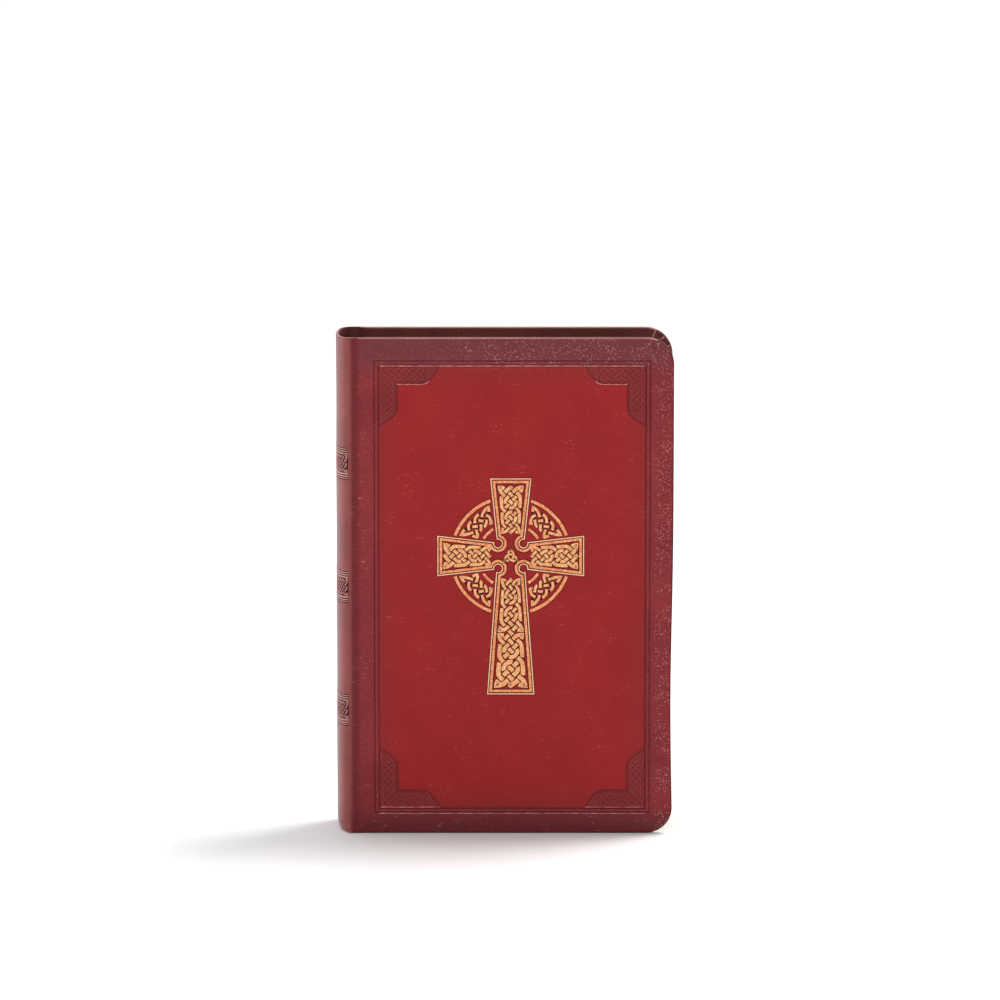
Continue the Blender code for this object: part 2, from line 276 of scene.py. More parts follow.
def paper(name, colour, shade):
    """Thin paper with faint fibres and a little toning."""
    sheet = Surface(name, Roughness=0.82, Specular_IOR_Level=0.25)
    cloud = sheet.noise(sheet.space("Object", 1000.0), 0.05, 3.0, 0.6)
    fibre = sheet.noise(sheet.space("Object", 900.0, 900.0, 3500.0), 1.2, 4.0, 0.7)
    tone = sheet.mix(sheet.ramp(cloud, 0.35, 0.75), colour, shade)
    sheet.colour(sheet.mix(sheet.ramp(fibre, 0.62, 0.80, last=(0.4, 0.4, 0.4, 1)), tone, shade))
    sheet.bump(fibre, 0.25, 0.00003)
    return sheet.material


def speckled(name, scale, grain, stops, colours, bump, **uniform):
    """One noise between two colours, also used as the bump: `grain` is its scale, detail, roughness."""
    surface = Surface(name, **uniform)
    speck = surface.noise(surface.space("Object", *scale), *grain)
    surface.colour(surface.ramp(speck, *stops, *colours))
    if bump:
        surface.bump(speck, *bump)
    return surface.material


def gauze_material():
    """Open cotton gauze stiffened with glue."""
    gauze = Surface("cotton_gauze", Roughness=0.9)
    place = gauze.space("Object", 1000.0)
    threads = []
    for direction in ("Z", "Y"):
        wave_node = gauze.nodes.new("ShaderNodeTexWave")
        wave_node.bands_direction = direction
        wave_node.inputs["Scale"].default_value = 0.55
        gauze.links.new(place, wave_node.inputs["Vector"])
        threads.append(wave_node.outputs["Fac"])
    thread = gauze.maths("MAXIMUM", *threads)
    gauze.colour(gauze.ramp(thread, 0.35, 0.85, (0.40, 0.33, 0.22, 1), (0.82, 0.78, 0.68, 1)))
    gauze.bump(thread, 0.6, 0.0001)
    return gauze.material


# Painted sheen and shade: the border turns greyer and darker toward the head, where it tilts up to the light.
HEAD_PAINTED_SHEEN_AND_SHADE = ("Y", HEIGHT, 17 * MM, 4 * MM, (0.165, 0.034, 0.040, 1))
# Painted shade: the border darkens toward the tail, where it curves away from the light.
TAIL_PAINTED_SHADE = ("Y", 0.0, 11 * MM, 3 * MM, (0.140, 0.020, 0.023, 1))
# Painted shade: darker in the crease beside the spine.
CREASE_PAINTED_SHADE = ("X", X_CREASE + 1.2 * MM, 3.0 * MM, 0.9 * MM, (0.152, 0.0165, 0.021, 1))
SPINE_TONE = ("X", X_CREASE - 2.0 * MM, 3.2 * MM, 1.8 * MM, (0.275, 0.066, 0.062, 1))
# Painted glints: near these lines the flecks gather along the head and the fore-edge.
HEAD_SPARKLE = ("Y", HEIGHT, 16 * MM, 7 * MM)
FORE_SPARKLE = ("X", X_FORE, 7.4 * MM, 5.0 * MM)
BURGUNDY = leather("burgundy_leather", (0.262, 0.028, 0.033), (0.210, 0.021, 0.027), (0.85, 0.45, 0.44),
                   wear_and_glint=0.52, grain=0.7, roughness=0.36, shine=0.13,
                   zones=(HEAD_PAINTED_SHEEN_AND_SHADE, TAIL_PAINTED_SHADE, CREASE_PAINTED_SHADE, SPINE_TONE),
                   sparkle=(HEAD_SPARKLE, FORE_SPARKLE))
PANEL_RIM = (0.262, 0.0195, 0.0215, 1)
PANEL_ZONES = (("X", X_CREASE + FRAME_OUTER["left"], 11 * MM, 1 * MM, PANEL_RIM),
               ("X", X_FORE - FRAME_OUTER["right"], 11 * MM, 1 * MM, PANEL_RIM),
               ("Y", HEIGHT - FRAME_OUTER["top"], 12 * MM, 1 * MM, PANEL_RIM),
               ("Y", FRAME_OUTER["bottom"], 11 * MM, 1 * MM, PANEL_RIM))
# Painted glints on the panel gather toward the head.
PANEL = leather("panel_leather", (0.320, 0.0165, 0.0175), (0.290, 0.0145, 0.016), (0.58, 0.17, 0.16),
                wear_and_glint=0.68, grain=0.40, shine=0.10, zones=PANEL_ZONES,
                sparkle=(("Y", HEIGHT, 14 * MM, 9 * MM),))
STAMPED = leather("stamped_leather", (0.250, 0.022, 0.025), (0.215, 0.018, 0.021), (0.36, 0.07, 0.075),
                  wear_and_glint=0.25, grain=0.4, shine=0.18)
# Dark leather of the hot tool lines, also used as painted shade on the side edges of the covers.
TOOLED_AND_EDGE_SHADE = leather("tooled_line_leather", (0.115, 0.007, 0.008), (0.090, 0.006, 0.007), (0.26, 0.04, 0.04),
                 wear_and_glint=0.2, grain=0.4, shine=0.15)
SPINE_BACK = ("X", X_SPINE, 9.0 * MM, 4.5 * MM, (0.165, 0.036, 0.035, 1))
SPINE = leather("spine_leather_worn", (0.275, 0.066, 0.062), (0.225, 0.048, 0.048), (0.62, 0.36, 0.33),
                wear_and_glint=0.45, grain=0.6, shine=0.36, zones=(SPINE_BACK,))
SPINE_DEEP = leather("spine_leather_deep", (0.032, 0.007, 0.007), (0.024, 0.005, 0.005),
                     (0.20, 0.07, 0.06), wear_and_glint=0.1, grain=0.4, shine=0.10)
SPINE_RAISED = leather("spine_leather_raised", (0.440, 0.150, 0.140), (0.340, 0.105, 0.098),
                       (0.80, 0.52, 0.48), wear_and_glint=0.6, grain=0.4, shine=0.55)
# Pale leather painted as a highlight: the rims along the head, and the crests between the corner pleats.
EDGE_HIGHLIGHT = leather("worn_edge_leather", (0.440, 0.180, 0.168), (0.330, 0.110, 0.105), (0.90, 0.66, 0.62),
               wear_and_glint=0.8, grain=0.5, roughness=0.34, shine=0.45)
# Painted highlight: pale leather for the lips of lines and stamps that face up to the light.
HIGHLIGHT_LIP = leather("worn_lip_leather", (0.740, 0.360, 0.335), (0.560, 0.220, 0.205), (0.95, 0.75, 0.70),
              wear_and_glint=0.8, grain=0.4, roughness=0.30, shine=0.60)
# Painted shade: a darker copy of the leather for the turned-in and inner faces.
SHADED_INSIDE = leather("inside_leather", (0.115, 0.028, 0.028), (0.080, 0.018, 0.018), (0.26, 0.10, 0.09),
                 wear_and_glint=0.3)
INK = leather("scorched_leather", (0.085, 0.006, 0.005), (0.060, 0.004, 0.004), (0.14, 0.02, 0.02),
              wear_and_glint=0.1, grain=0.3, roughness=0.6)
FOIL = foil_material("stamping_foil", (0.58, 0.120, 0.042, 1), (0.90, 0.295, 0.115, 1))
FOIL_KNOT = foil_material("stamping_foil_knots", (0.62, 0.195, 0.076, 1), (0.92, 0.43, 0.18, 1))
FOIL_PALE = foil_material("stamping_foil_fine", (0.78, 0.36, 0.21, 1), (1.0, 0.62, 0.40, 1))
ENDPAPER = paper("endpaper", (0.80, 0.74, 0.60, 1), (0.70, 0.62, 0.47, 1))
LEAF = paper("leaf_paper", (0.86, 0.82, 0.71, 1), (0.78, 0.72, 0.58, 1))
LINING = paper("kraft_lining", (0.42, 0.30, 0.18, 1), (0.33, 0.22, 0.12, 1))
GILT = speckled("gilt_edge", (350.0, 5200.0, 350.0), (1.0, 3.0, 0.6), (0.30, 0.72),
                ((0.52, 0.30, 0.10, 1), (0.92, 0.66, 0.30, 1)), (0.4, 0.00005), Metallic=0.85, Roughness=0.36)
BOARD = speckled("pulp_board", (1000.0,), (1.6, 5.0, 0.75), (0.35, 0.68),
                 ((0.22, 0.20, 0.16, 1), (0.42, 0.38, 0.31, 1)), (0.4, 0.00008), Roughness=0.9)
GAUZE = gauze_material()
RED_SILK, CREAM_SILK = [
    speckled(name, (1000.0,), (4.0, 3.0, 0.6), (0.3, 0.7), colours, (0.5, 0.00006), Roughness=0.6,
             Sheen_Weight=0.3)
    for name, colours in (("red_silk", ((0.26, 0.02, 0.02, 1), (0.48, 0.05, 0.05, 1))),
                          ("cream_silk", ((0.60, 0.50, 0.33, 1), (0.82, 0.74, 0.56, 1))))]
FLOOR = speckled("pale_floor", (1.0,), (6.0,), (0.2, 0.8),
                 ((0.90, 0.90, 0.90, 1), (0.92, 0.92, 0.92, 1)), None, Roughness=0.75)


# ---------------------------------------------------------------- mesh helpers
def graded(start, end, coarse, spots=(), fine=0.13 * MM, reach=0.8 * MM):
    """Positions from start to end, coarse apart from close steps near each spot."""
    marks = [start, end]
    for spot in spots:
        marks += list(np.arange(spot - reach, spot + reach + fine / 2, fine))
    marks = sorted(mark for mark in marks if start <= mark <= end)
    line = [marks[0]]
    for mark in marks[1:]:
        gap = mark - line[-1]
        if gap < fine * 0.4:
            continue
        pieces = max(1, math.ceil(gap / coarse))
        line += [line[-1] + gap * step / pieces for step in range(1, pieces + 1)]
    line[-1] = end
    return line


def flat_uv(co):
    return co.x, co.z


def spine_uv(co):
    return co.y + co.x, co.z


def finish_mesh(name, bm, materials, uv=None, smooth=True, weld=True):
    """Mesh object from a bmesh; uv maps a point to two lengths."""
    if weld:
        bmesh.ops.remove_doubles(bm, verts=bm.verts, dist=1e-6)
    bmesh.ops.recalc_face_normals(bm, faces=bm.faces)
    if uv is not None:
        layer = bm.loops.layers.uv.new("UVMap")
        for face in bm.faces:
            for loop in face.loops:
                loop[layer].uv = uv(loop.vert.co)
    for face in bm.faces:
        face.smooth = smooth
    mesh = bpy.data.meshes.new(name)
    bm.to_mesh(mesh)
    bm.free()
    for material in materials:
        mesh.materials.append(material)
    obj = bpy.data.objects.new(name, mesh)
    bpy.context.scene.collection.objects.link(obj)
    return obj


def bridge(bm, first, second, material=0, closed=False):
    """Quads between two rows of the same number of vertices."""
    count = len(first) if closed else len(first) - 1
    for index in range(count):
        following = (index + 1) % len(first)
        corners = (first[index], first[following], second[following], second[index])
        unique = list(dict.fromkeys(corners))
        if len(unique) > 2:
            face = bm.faces.new(unique)
            face.material_index = material[index] if isinstance(material, list) else material


def ease(share):
    """Smooth step from 0 to 1."""
    return share * share * (3 - 2 * share)


def wave(value, *terms):
    """Sum of slow sines used for the unevenness of soft leather."""
    return sum(size * math.sin(value * 2 * math.pi / length + phase) for size, length, phase in terms)


# ---------------------------------------------------------------- shape of the leather
def frame_lines():
    """The four positions of the outer and of the inner stamped line: left, right, bottom, top."""
    outer = (X_CREASE + FRAME_OUTER["left"], X_FORE - FRAME_OUTER["right"],
             FRAME_OUTER["bottom"], HEIGHT - FRAME_OUTER["top"])
    inner = (outer[0] + FRAME_STEP, outer[1] - FRAME_STEP, outer[2] + FRAME_STEP, outer[3] - FRAME_STEP)
    return outer, inner


def box_distance(x, z, box):
    """Distance from a point to the outline of a rectangle."""
    outside_x = max(box[0] - x, x - box[1])
    outside_z = max(box[2] - z, z - box[3])
    if outside_x <= 0 and outside_z <= 0:
        return -max(outside_x, outside_z)
    return math.hypot(max(outside_x, 0.0), max(outside_z, 0.0))


def groove(distance, half=GROOVE_HALF, depth=GROOVE_DEPTH):
    """Rounded trough of a hot tool line."""
    if distance >= half:
        return 0.0
    return depth * 0.5 * (1.0 + math.cos(math.pi * distance / half))


def relief(x, z):
    """Depth of the outer leather face below its plane."""
    outer, inner = frame_lines()
    depth = max(groove(box_distance(x, z, outer)), groove(box_distance(x, z, inner)))
    depth += CREASE_DEPTH * math.exp(-((x - X_CREASE) / (0.75 * MM)) ** 2)
    if inner[0] < x < inner[1] and inner[2] < z < inner[3]:
        depth += 0.10 * MM
    return depth


def roll(x, z):
    """The padded border falls away toward the head, the tail and the fore-edge."""
    outer, _ = frame_lines()
    past = max(x - outer[1], outer[2] - z, z - outer[3], 0.0) / (7.4 * MM)
    return BORDER_ROLL * min(1.0, past) ** 2


def outer_sink(x, z, depth):
    """Everything that lowers the outer face at a row of the given depth."""
    sunk = relief(x, z) + softness(x, z) * max(0.0, 1.0 - depth / (0.5 * MM))
    return sunk + roll(x, z) * max(0.0, 1.0 - depth / EDGE_ROUND)


def fore_edge_bow(z):
    """The limp fore-edge draws in a little above the lower corner."""
    height = z / HEIGHT
    return -0.85 * MM * math.exp(-((height - 0.27) / 0.22) ** 2) * min(1.0, height / 0.06)


def softness(x, z):
    """Slow unevenness of a limp cover, added to its depth; none over the cross."""
    from_cross = max(abs(x - CROSS_X) / (CROSS_HALF + 4 * MM),
                     abs(z - (CROSS_TOP + CROSS_FOOT) / 2) / (41 * MM))
    fade = min(1.0, max(0.0, (from_cross - 1.0) / 0.35))
    sway = wave(x, (0.05 * MM, 0.061, 0.4), (0.035 * MM, 0.023, 2.0))
    sway += wave(z, (0.06 * MM, 0.083, 1.1), (0.03 * MM, 0.031, 0.2))
    return fade * (sway + 0.10 * MM)


# ---------------------------------------------------------------- covers
CORNER_STEPS = 52
ROUND_TURNS = [math.radians(turn) for turn in (0, 18, 36, 54, 72, 90)]
FLAT_INSETS = (4.6 * MM, 3.7 * MM, 2.9 * MM, 2.2 * MM, 1.6 * MM)
OUTSIDE_ROWS = len(FLAT_INSETS) + len(ROUND_TURNS) - 1      # rim rows that belong to the outer face
EDGE_ROWS = OUTSIDE_ROWS + len(ROUND_TURNS) - 1             # and those up to the turned-in leather


def straight_lines():
    """Grid positions along the head and tail (x) and along the fore-edge (z)."""
    outer, inner = frame_lines()
    x_line = graded(STRIP_END, X_FORE - CORNER, 1.6 * MM, (outer[0], inner[0], X_FORE - CORNER))
    z_line = graded(CORNER, HEIGHT - CORNER, 1.6 * MM, (CORNER, HEIGHT - CORNER))
    return x_line, z_line


def corner_path(inset, upper):
    """Fore-edge corner at an inset: round at the edge, square where the inner grid begins."""
    square = ease(min(1.0, inset / RIM))
    reach = CORNER - inset
    points = []
    for step in range(CORNER_STEPS + 1):
        share = step / CORNER_STEPS
        turn = share * math.pi / 2
        round_x, round_z = math.sin(turn), 1.0 - math.cos(turn)
        leg_x, leg_z = min(1.0, share * 2), max(0.0, share * 2 - 1.0)
        x = X_FORE - CORNER + reach * (round_x + (leg_x - round_x) * square)
        z = inset + reach * (round_z + (leg_z - round_z) * square)
        points.append((x, z))
    if upper:
        points = [(x, HEIGHT - z) for x, z in reversed(points)]
    return points


def cover_ring(inset):
    """Open loop along the tail, round the fore-edge and back along the head."""
    x_line, z_line = straight_lines()
    ring = [(x, inset) for x in x_line[:-1]]
    ring += corner_path(inset, False)
    ring += [(X_FORE - inset, z) for z in z_line[1:-1]]
    ring += corner_path(inset, True)
    ring += [(x, HEIGHT - inset) for x in reversed(x_line[:-1])]
    return ring


def rim_profile():
    """Inset and depth of each loop from the outer face, over the edge, to the turned-in leather."""
    rows = [(inset, 0.0) for inset in FLAT_INSETS]
    rows += [(EDGE_ROUND * (1 - math.sin(turn)), EDGE_ROUND * (1 - math.cos(turn))) for turn in ROUND_TURNS]
    inner_round = 0.7 * MM
    rows += [(inner_round * (1 - math.cos(turn)), COVER - inner_round * (1 - math.sin(turn)))
             for turn in ROUND_TURNS]
    rows += [(inset, COVER) for inset in (1.3 * MM, 2.2 * MM, 3.6 * MM, 5.2 * MM, 7.0 * MM)]
    rows.append((TURN_IN - 0.3 * MM, COVER))
    rows += [(TURN_IN, COVER - 0.12 * MM), (TURN_IN, COVER - 0.45 * MM)]
    return rows


def pleat(x, z, inset):
    """Radial gathers of the leather turned in round a fore-edge corner."""
    from_x = x - (X_FORE - CORNER)
    from_z = min(z, HEIGHT - z) - CORNER
    if from_x <= 0 or from_z >= 0 or inset < 0.8 * MM:
        return 0.0
    turn = math.atan2(-from_z, from_x)
    edge_fade = min(1.0, 4.0 * turn / math.pi, 4.0 * (math.pi / 2 - turn) / math.pi) * 2
    depth_fade = min(1.0, inset / (2.5 * MM)) * max(0.0, 1.0 - inset / (9.5 * MM))
    return 0.22 * MM * depth_fade * min(1.0, edge_fade) * (0.5 + 0.5 * math.cos(turn * 30))


def pleat_crest(x, z):
    """Whether a point of the turned-in corner lies on one of the pale creases between pleats."""
    from_x = x - (X_FORE - CORNER)
    from_z = min(z, HEIGHT - z) - CORNER
    return from_x > 0 > from_z and math.cos(15 * math.atan2(-from_z, from_x) + 1.2) > 0.93


def inner_depth(x, depth):
    """Near the crease the inside of the cover thins to the bare leather."""
    thick = ease(min(1.0, max(0.0, (x - STRIP_END) / (2.6 * MM))))
    return EDGE_LEATHER + (depth - EDGE_LEATHER) * thick


def profile_depth(x, depth):
    """Depth of a rim row: full at the edge of the board, thinned beside the crease."""
    if depth <= EDGE_ROUND * 0.5:
        return depth
    return EDGE_ROUND * 0.5 + (depth - EDGE_ROUND * 0.5) * (
        (inner_depth(x, COVER) - EDGE_ROUND * 0.5) / (COVER - EDGE_ROUND * 0.5))


def outer_material(x, z):
    """Slot of the outer face: 3 in the bottom of a tool line, 1 inside the frame, else 0."""
    outer, inner = frame_lines()
    if min(box_distance(x, z, outer), box_distance(x, z, inner)) < 0.13 * MM:
        return 3
    return 1 if inner[0] < x < inner[1] and inner[2] < z < inner[3] else 0


def build_cover(prefix, side):
    """Cover leather: stamped outer face, soft rounded edge and pleated turn-in, as one hide."""
    bm = bmesh.new()
    x_line, z_line = straight_lines()
    legs = CORNER_STEPS // 2

    def add(x, z, depth, outside):
        reach = max(0.0, (x - (X_FORE - 22 * MM)) / (22 * MM))
        moved_x = x + fore_edge_bow(z) * reach * reach
        if outside:
            depth += outer_sink(x, z, depth)
        return bm.verts.new((moved_x, side * (Y_COVER - depth), z))

    leg = [CORNER - (CORNER - RIM) * step / legs for step in range(legs, -1, -1)]
    grid_x = x_line[:-1] + [X_FORE - CORNER + (CORNER - RIM) * step / legs for step in range(legs + 1)]
    grid_z = leg[:-1] + z_line[:-1] + [HEIGHT - inset for inset in reversed(leg)]
    rows = [[add(x, z, 0.0, True) for x in grid_x] for z in grid_z]
    for low, high in zip(rows, rows[1:]):
        for index in range(len(grid_x) - 1):
            face = bm.faces.new((low[index], low[index + 1], high[index + 1], high[index]))
            centre = face.calc_center_median()
            face.material_index = outer_material(centre.x, centre.z)

    previous = rows[0] + [row[-1] for row in rows[1:-1]] + rows[-1][::-1]
    for number, (inset, depth) in enumerate(rim_profile()):
        outside = number < OUTSIDE_ROWS
        ring = []
        for x, z in cover_ring(inset):
            if outside:
                ring.append(add(x, z, depth, True))
            else:
                ring.append(add(x, z, profile_depth(x, depth) - pleat(x, z, inset), False))
        first_face = len(bm.faces)
        bridge(bm, previous, ring, 0 if number < EDGE_ROWS else 2)
        bm.faces.ensure_lookup_table()
        for face in bm.faces[first_face:]:
            centre = face.calc_center_median()
            # Painted highlight along the head: its rims get the pale edge leather.
            beside = centre.z > HEIGHT - MM and centre.x < X_FORE - 5 * MM
            if beside and (0.35 * MM < depth < 0.9 * MM or COVER - 0.6 * MM < depth < COVER - 0.1 * MM):
                face.material_index = 4
            # Painted shade: the side edge of the cover gets the dark tooled-line leather.
            elif 0.35 * MM < depth < COVER - 0.65 * MM:
                face.material_index = 3
            elif depth == COVER and inset < 5 * MM and pleat_crest(centre.x, centre.z):
                face.material_index = 4
            elif outside and outer_material(centre.x, centre.z) == 3:
                face.material_index = 3
        previous = ring
    inner_x = [x for x in x_line if x < X_TURN_IN] + [X_TURN_IN]
    inner_z = [TURN_IN, *np.linspace(TURN_IN + 2 * MM, HEIGHT - TURN_IN - 2 * MM, 60), HEIGHT - TURN_IN]
    panel = [[add(x, z, inner_depth(x, COVER) - 0.12 * MM, False) for x in inner_x] for z in inner_z]
    for low, high in zip(panel, panel[1:]):
        bridge(bm, low, high, 2)
    cover = finish_mesh(prefix + "_cover_leather", bm, (BURGUNDY, PANEL, SHADED_INSIDE, TOOLED_AND_EDGE_SHADE, EDGE_HIGHLIGHT), flat_uv)
    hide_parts(prefix + "_leather")
    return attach(cover, prefix + "_cover")


# ---------------------------------------------------------------- crease and spine
def spine_point(share, inset=0.0):
    """Plan point on the rounded spine, share -1 (front) to 1 (back), `inset` inside the leather."""
    half = Y_SPINE - inset
    bulge = X_CREASE - X_SPINE - inset
    turn = share * math.pi / 2
    across = math.sin(turn)
    depth = bulge * max(0.0, 1.0 - abs(across) ** SPINE_POWER) ** (1 / SPINE_POWER)
    return X_CREASE - depth, across * half


def even_shares(count):
    """Shares of the spine curve at even steps of its length, within the crease strips."""
    limit = 1 - strip_share()
    shares = np.linspace(-limit, limit, 2001)
    points = np.array([spine_point(share) for share in shares])
    travelled = np.concatenate(([0.0], np.cumsum(np.hypot(*np.diff(points, axis=0).T))))
    return np.interp(np.linspace(0.0, travelled[-1], count), travelled, shares), travelled[-1]


def end_rows(thickness):
    """Height and depth of rows over the rounded head or tail of unboarded leather."""
    radius = thickness / 2
    rows = []
    for step in range(9):
        turn = math.pi * step / 8
        rows.append((radius * (1 - math.sin(turn)), radius * (1 - math.cos(turn))))
    return rows


def shell_rows(z_line, thickness):
    """Closed loop of (z, depth) up the outside, over the head, down the inside and under the tail."""
    rows = [(z, 0.0) for z in z_line]
    rows += [(HEIGHT - height, depth) for height, depth in end_rows(thickness)[1:]]
    rows += [(z, thickness) for z in (HEIGHT - 4 * MM, HEIGHT - TURN_IN)]
    rows += [(z, LEATHER) for z in (HEIGHT - TURN_IN - 0.3 * MM, TURN_IN + 0.3 * MM)]
    rows += [(z, thickness) for z in (TURN_IN, 4 * MM)]
    rows += [(height, depth) for height, depth in end_rows(thickness)[::-1][:-1]]
    return rows


def shell_materials(z_line):
    """Slots up a column of unboarded leather: 0 outside, 2 a painted highlight along the head rim, 1 inside
    in painted shade.
    """
    slots = []
    for z, depth in shell_rows(z_line, EDGE_LEATHER):
        # Painted highlight on the rim at the head.
        pale_crest = z > HEIGHT - 0.5 * MM and 0.1 * MM < depth < 0.6 * EDGE_LEATHER
        slots.append(2 if pale_crest else int(depth > 0.6 * EDGE_LEATHER))
    return slots


def build_crease(prefix, side):
    """Strip of bending leather between the spine and one cover."""
    bm = bmesh.new()
    z_line = graded(EDGE_LEATHER / 2, HEIGHT - EDGE_LEATHER / 2, 1.8 * MM)
    steps = 22
    columns = []
    start_x, start_y = spine_point(-1 + strip_share())
    for step in range(steps + 1):
        x = start_x + (STRIP_END - start_x) * step / steps
        column = []
        base = ease(max(0.0, min(1.0, (x - X_CREASE) / (0.9 * MM) + 1.0)))
        plane = -start_y + (Y_COVER + start_y) * base
        for z, depth in shell_rows(z_line, EDGE_LEATHER):
            sunk = outer_sink(x, z, depth) * min(1.0, step / 8) if depth < EDGE_LEATHER - 0.1 * MM else 0.0
            column.append(bm.verts.new((x, side * (plane - depth - sunk), z)))
        columns.append(column)
    sides = shell_materials(z_line)
    for first, second in zip(columns, columns[1:]):
        bridge(bm, first, second, sides, closed=True)
    crease = finish_mesh(prefix + "_crease_leather", bm, (BURGUNDY, SHADED_INSIDE, EDGE_HIGHLIGHT), flat_uv)
    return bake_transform(crease)


def strip_share():
    """Where on the spine curve the crease strips begin."""
    low, high = 0.0, 1.0
    for _ in range(40):
        middle = (low + high) / 2
        if spine_point(-1 + middle)[0] > STRIP_START:
            low = middle
        else:
            high = middle
    return low


def band_depth(z):
    """The three bands sit in a shallow sunk zone with stamped lines above and below."""
    depth = 0.0
    for band in BANDS:
        offset = z - band
        depth += 0.16 * MM * min(1.0, max(0.0, (BAND_FLOOR - abs(offset)) / (0.5 * MM)))
        for line in BAND_LINES:
            for direction in (-1, 1):
                depth += groove(abs(offset - direction * line), 0.34 * MM, 0.22 * MM)
    return depth


def spine_unevenness(z):
    """Slow waviness of the spine leather, as a depth."""
    return 0.05 * MM + wave(z, (0.05 * MM, 0.047, 0.3))


def spine_outward(share):
    """Unit direction away from the book at a point of the spine curve."""
    ahead = Vector(spine_point(min(1.0, share + 0.004))) - Vector(spine_point(max(-1.0, share - 0.004)))
    outward = Vector((-ahead.y, ahead.x)).normalized()
    return -outward if outward.x > 0 else outward


TAIL_TUCK = 1.3 * MM        # how far the foot of the spine draws in
TUCK_HEIGHT = 4.4 * MM


def build_spine():
    """Spine leather with its stamped bands, turned over at the head and tail."""
    bm = bmesh.new()
    spots = [band + direction * line for band in BANDS for line in (3.4 * MM, *BAND_LINES)
             for direction in (-1, 1)]
    z_line = graded(EDGE_LEATHER / 2, HEIGHT - EDGE_LEATHER / 2, 1.6 * MM, spots, 0.12 * MM, 0.5 * MM)
    shares, _ = even_shares(121)
    columns = []
    for share in shares:
        outer = Vector(spine_point(share))
        inward = -spine_outward(share)
        edge_fade = min(1.0, (1 - strip_share() - abs(share)) / 0.02)
        column = []
        for z, depth in shell_rows(z_line, EDGE_LEATHER):
            sunk = edge_fade * (band_depth(z) + spine_unevenness(z)) if depth < TINY else 0.0
            tuck = TAIL_TUCK * max(0.0, 1.0 - z / TUCK_HEIGHT) ** 2 * (1.0 - abs(share) ** 6)
            place = outer + inward * (depth + sunk + tuck)
            if abs(share) > 0.9 and edge_fade < 0.05:
                place = Vector((outer.x, outer.y - math.copysign(depth, outer.y)))
            column.append(bm.verts.new((place.x, place.y, z)))
        columns.append(column)
    sides = shell_materials(z_line)
    rows = shell_rows(z_line, EDGE_LEATHER)
    for index, ((z, depth), (next_z, next_depth)) in enumerate(zip(rows, rows[1:])):
        if depth < TINY and next_depth < TINY and band_depth((z + next_z) / 2) > 0.13 * MM:
            sides[index] = 3
    for first, second in zip(columns, columns[1:]):
        bridge(bm, first, second, sides, closed=True)
    spine = finish_mesh("spine_cover_leather", bm, (SPINE, SHADED_INSIDE, EDGE_HIGHLIGHT, SPINE_DEEP), spine_uv)
    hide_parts("spine_leather")
    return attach(spine, "spine")


# ---------------------------------------------------------------- knotwork
def trace_knot(cells, breaks):
    """Strands of a woven panel on square cells.

    Nodes are the middles of cell edges, counted in half cells.  A strand runs diagonally from node to
    node, turns back at the panel's border, and at a break passes beside the wall named there; a wall
    named with a capital closes the panel as its border does.
    """
    region = set(cells)

    def meet(x, y):
        """'x' for a crossing, else the wall that turns the strand; and whether it is the border."""
        if (x, y) in breaks:
            return breaks[(x, y)].lower(), breaks[(x, y)].isupper()
        column, row = x // 2, y // 2
        if x % 2 == 0:
            return ("x", False) if {(column - 1, row), (column, row)} <= region else ("v", True)
        return ("x", False) if {(column, row - 1), (column, row)} <= region else ("h", True)

    done = set()
    strands = []
    for column, row in sorted(region):
        for start in ((2 * column, 2 * row + 1, 1, -1), (2 * column, 2 * row + 1, 1, 1)):
            x, y, dx, dy = start
            if frozenset(((x, y), (x + dx, y + dy))) in done:
                continue
            nodes = []
            while True:
                segment = frozenset(((x, y), (x + dx, y + dy)))
                if segment in done:
                    break
                done.add(segment)
                x, y = x + dx, y + dy
                kind, border = meet(x, y)
                nodes.append((x, y, dx, dy, kind, border))
                if kind == "v":
                    dx = -dx
                elif kind == "h":
                    dy = -dy
            first = next((index for index, node in enumerate(nodes) if node[4] == "x"), 0)
            strands.append(nodes[first:] + nodes[:first])
    return strands


def strand_stations(nodes, length, pull=0.52):
    """Points and tangents through a strand's nodes: (place, tangent in, tangent out, lies under)."""
    stations = []
    count = len(nodes)
    skip = set()
    for index, (x, y, dx, dy, kind, border) in enumerate(nodes):
        if index in skip:
            continue
        if kind == "x":
            over = dx * dy < 0 if x % 2 == 0 else dx * dy > 0
            tangent = Vector((dx, dy)).normalized()
            stations.append((Vector((x, y)), tangent, tangent, not over))
            continue
        turned = Vector((0, dy)) if kind == "v" else Vector((dx, 0))
        next_x, next_y, next_dx, next_dy, next_kind, next_border = nodes[(index + 1) % count]
        if border and next_border and next_kind != kind:
            skip.add(index + 1)
            upright = kind == "v"
            corner = Vector((x, next_y)) if upright else Vector((next_x, y))
            inward = Vector((-dx, -next_dy)) if upright else Vector((-next_dx, -dy))
            leaving = Vector((next_dx, 0)) if upright else Vector((0, next_dy))
            inward = Vector((inward.x * 0.26, inward.y * (0.26 if corner.y in (0, length) else 0.50)))
            stations.append((corner + inward, turned, leaving, None))
            continue
        if border and kind == "h" and length:
            stations.append((Vector((x, y - dy * 0.30)), Vector((dx, dy)).normalized(),
                             Vector((dx, -dy)).normalized(), None))
            continue
        shift = Vector((-dx, 0)) if kind == "v" else Vector((0, -dy))
        stations.append((Vector((x, y)) + shift * pull, turned, turned, None))
    return stations


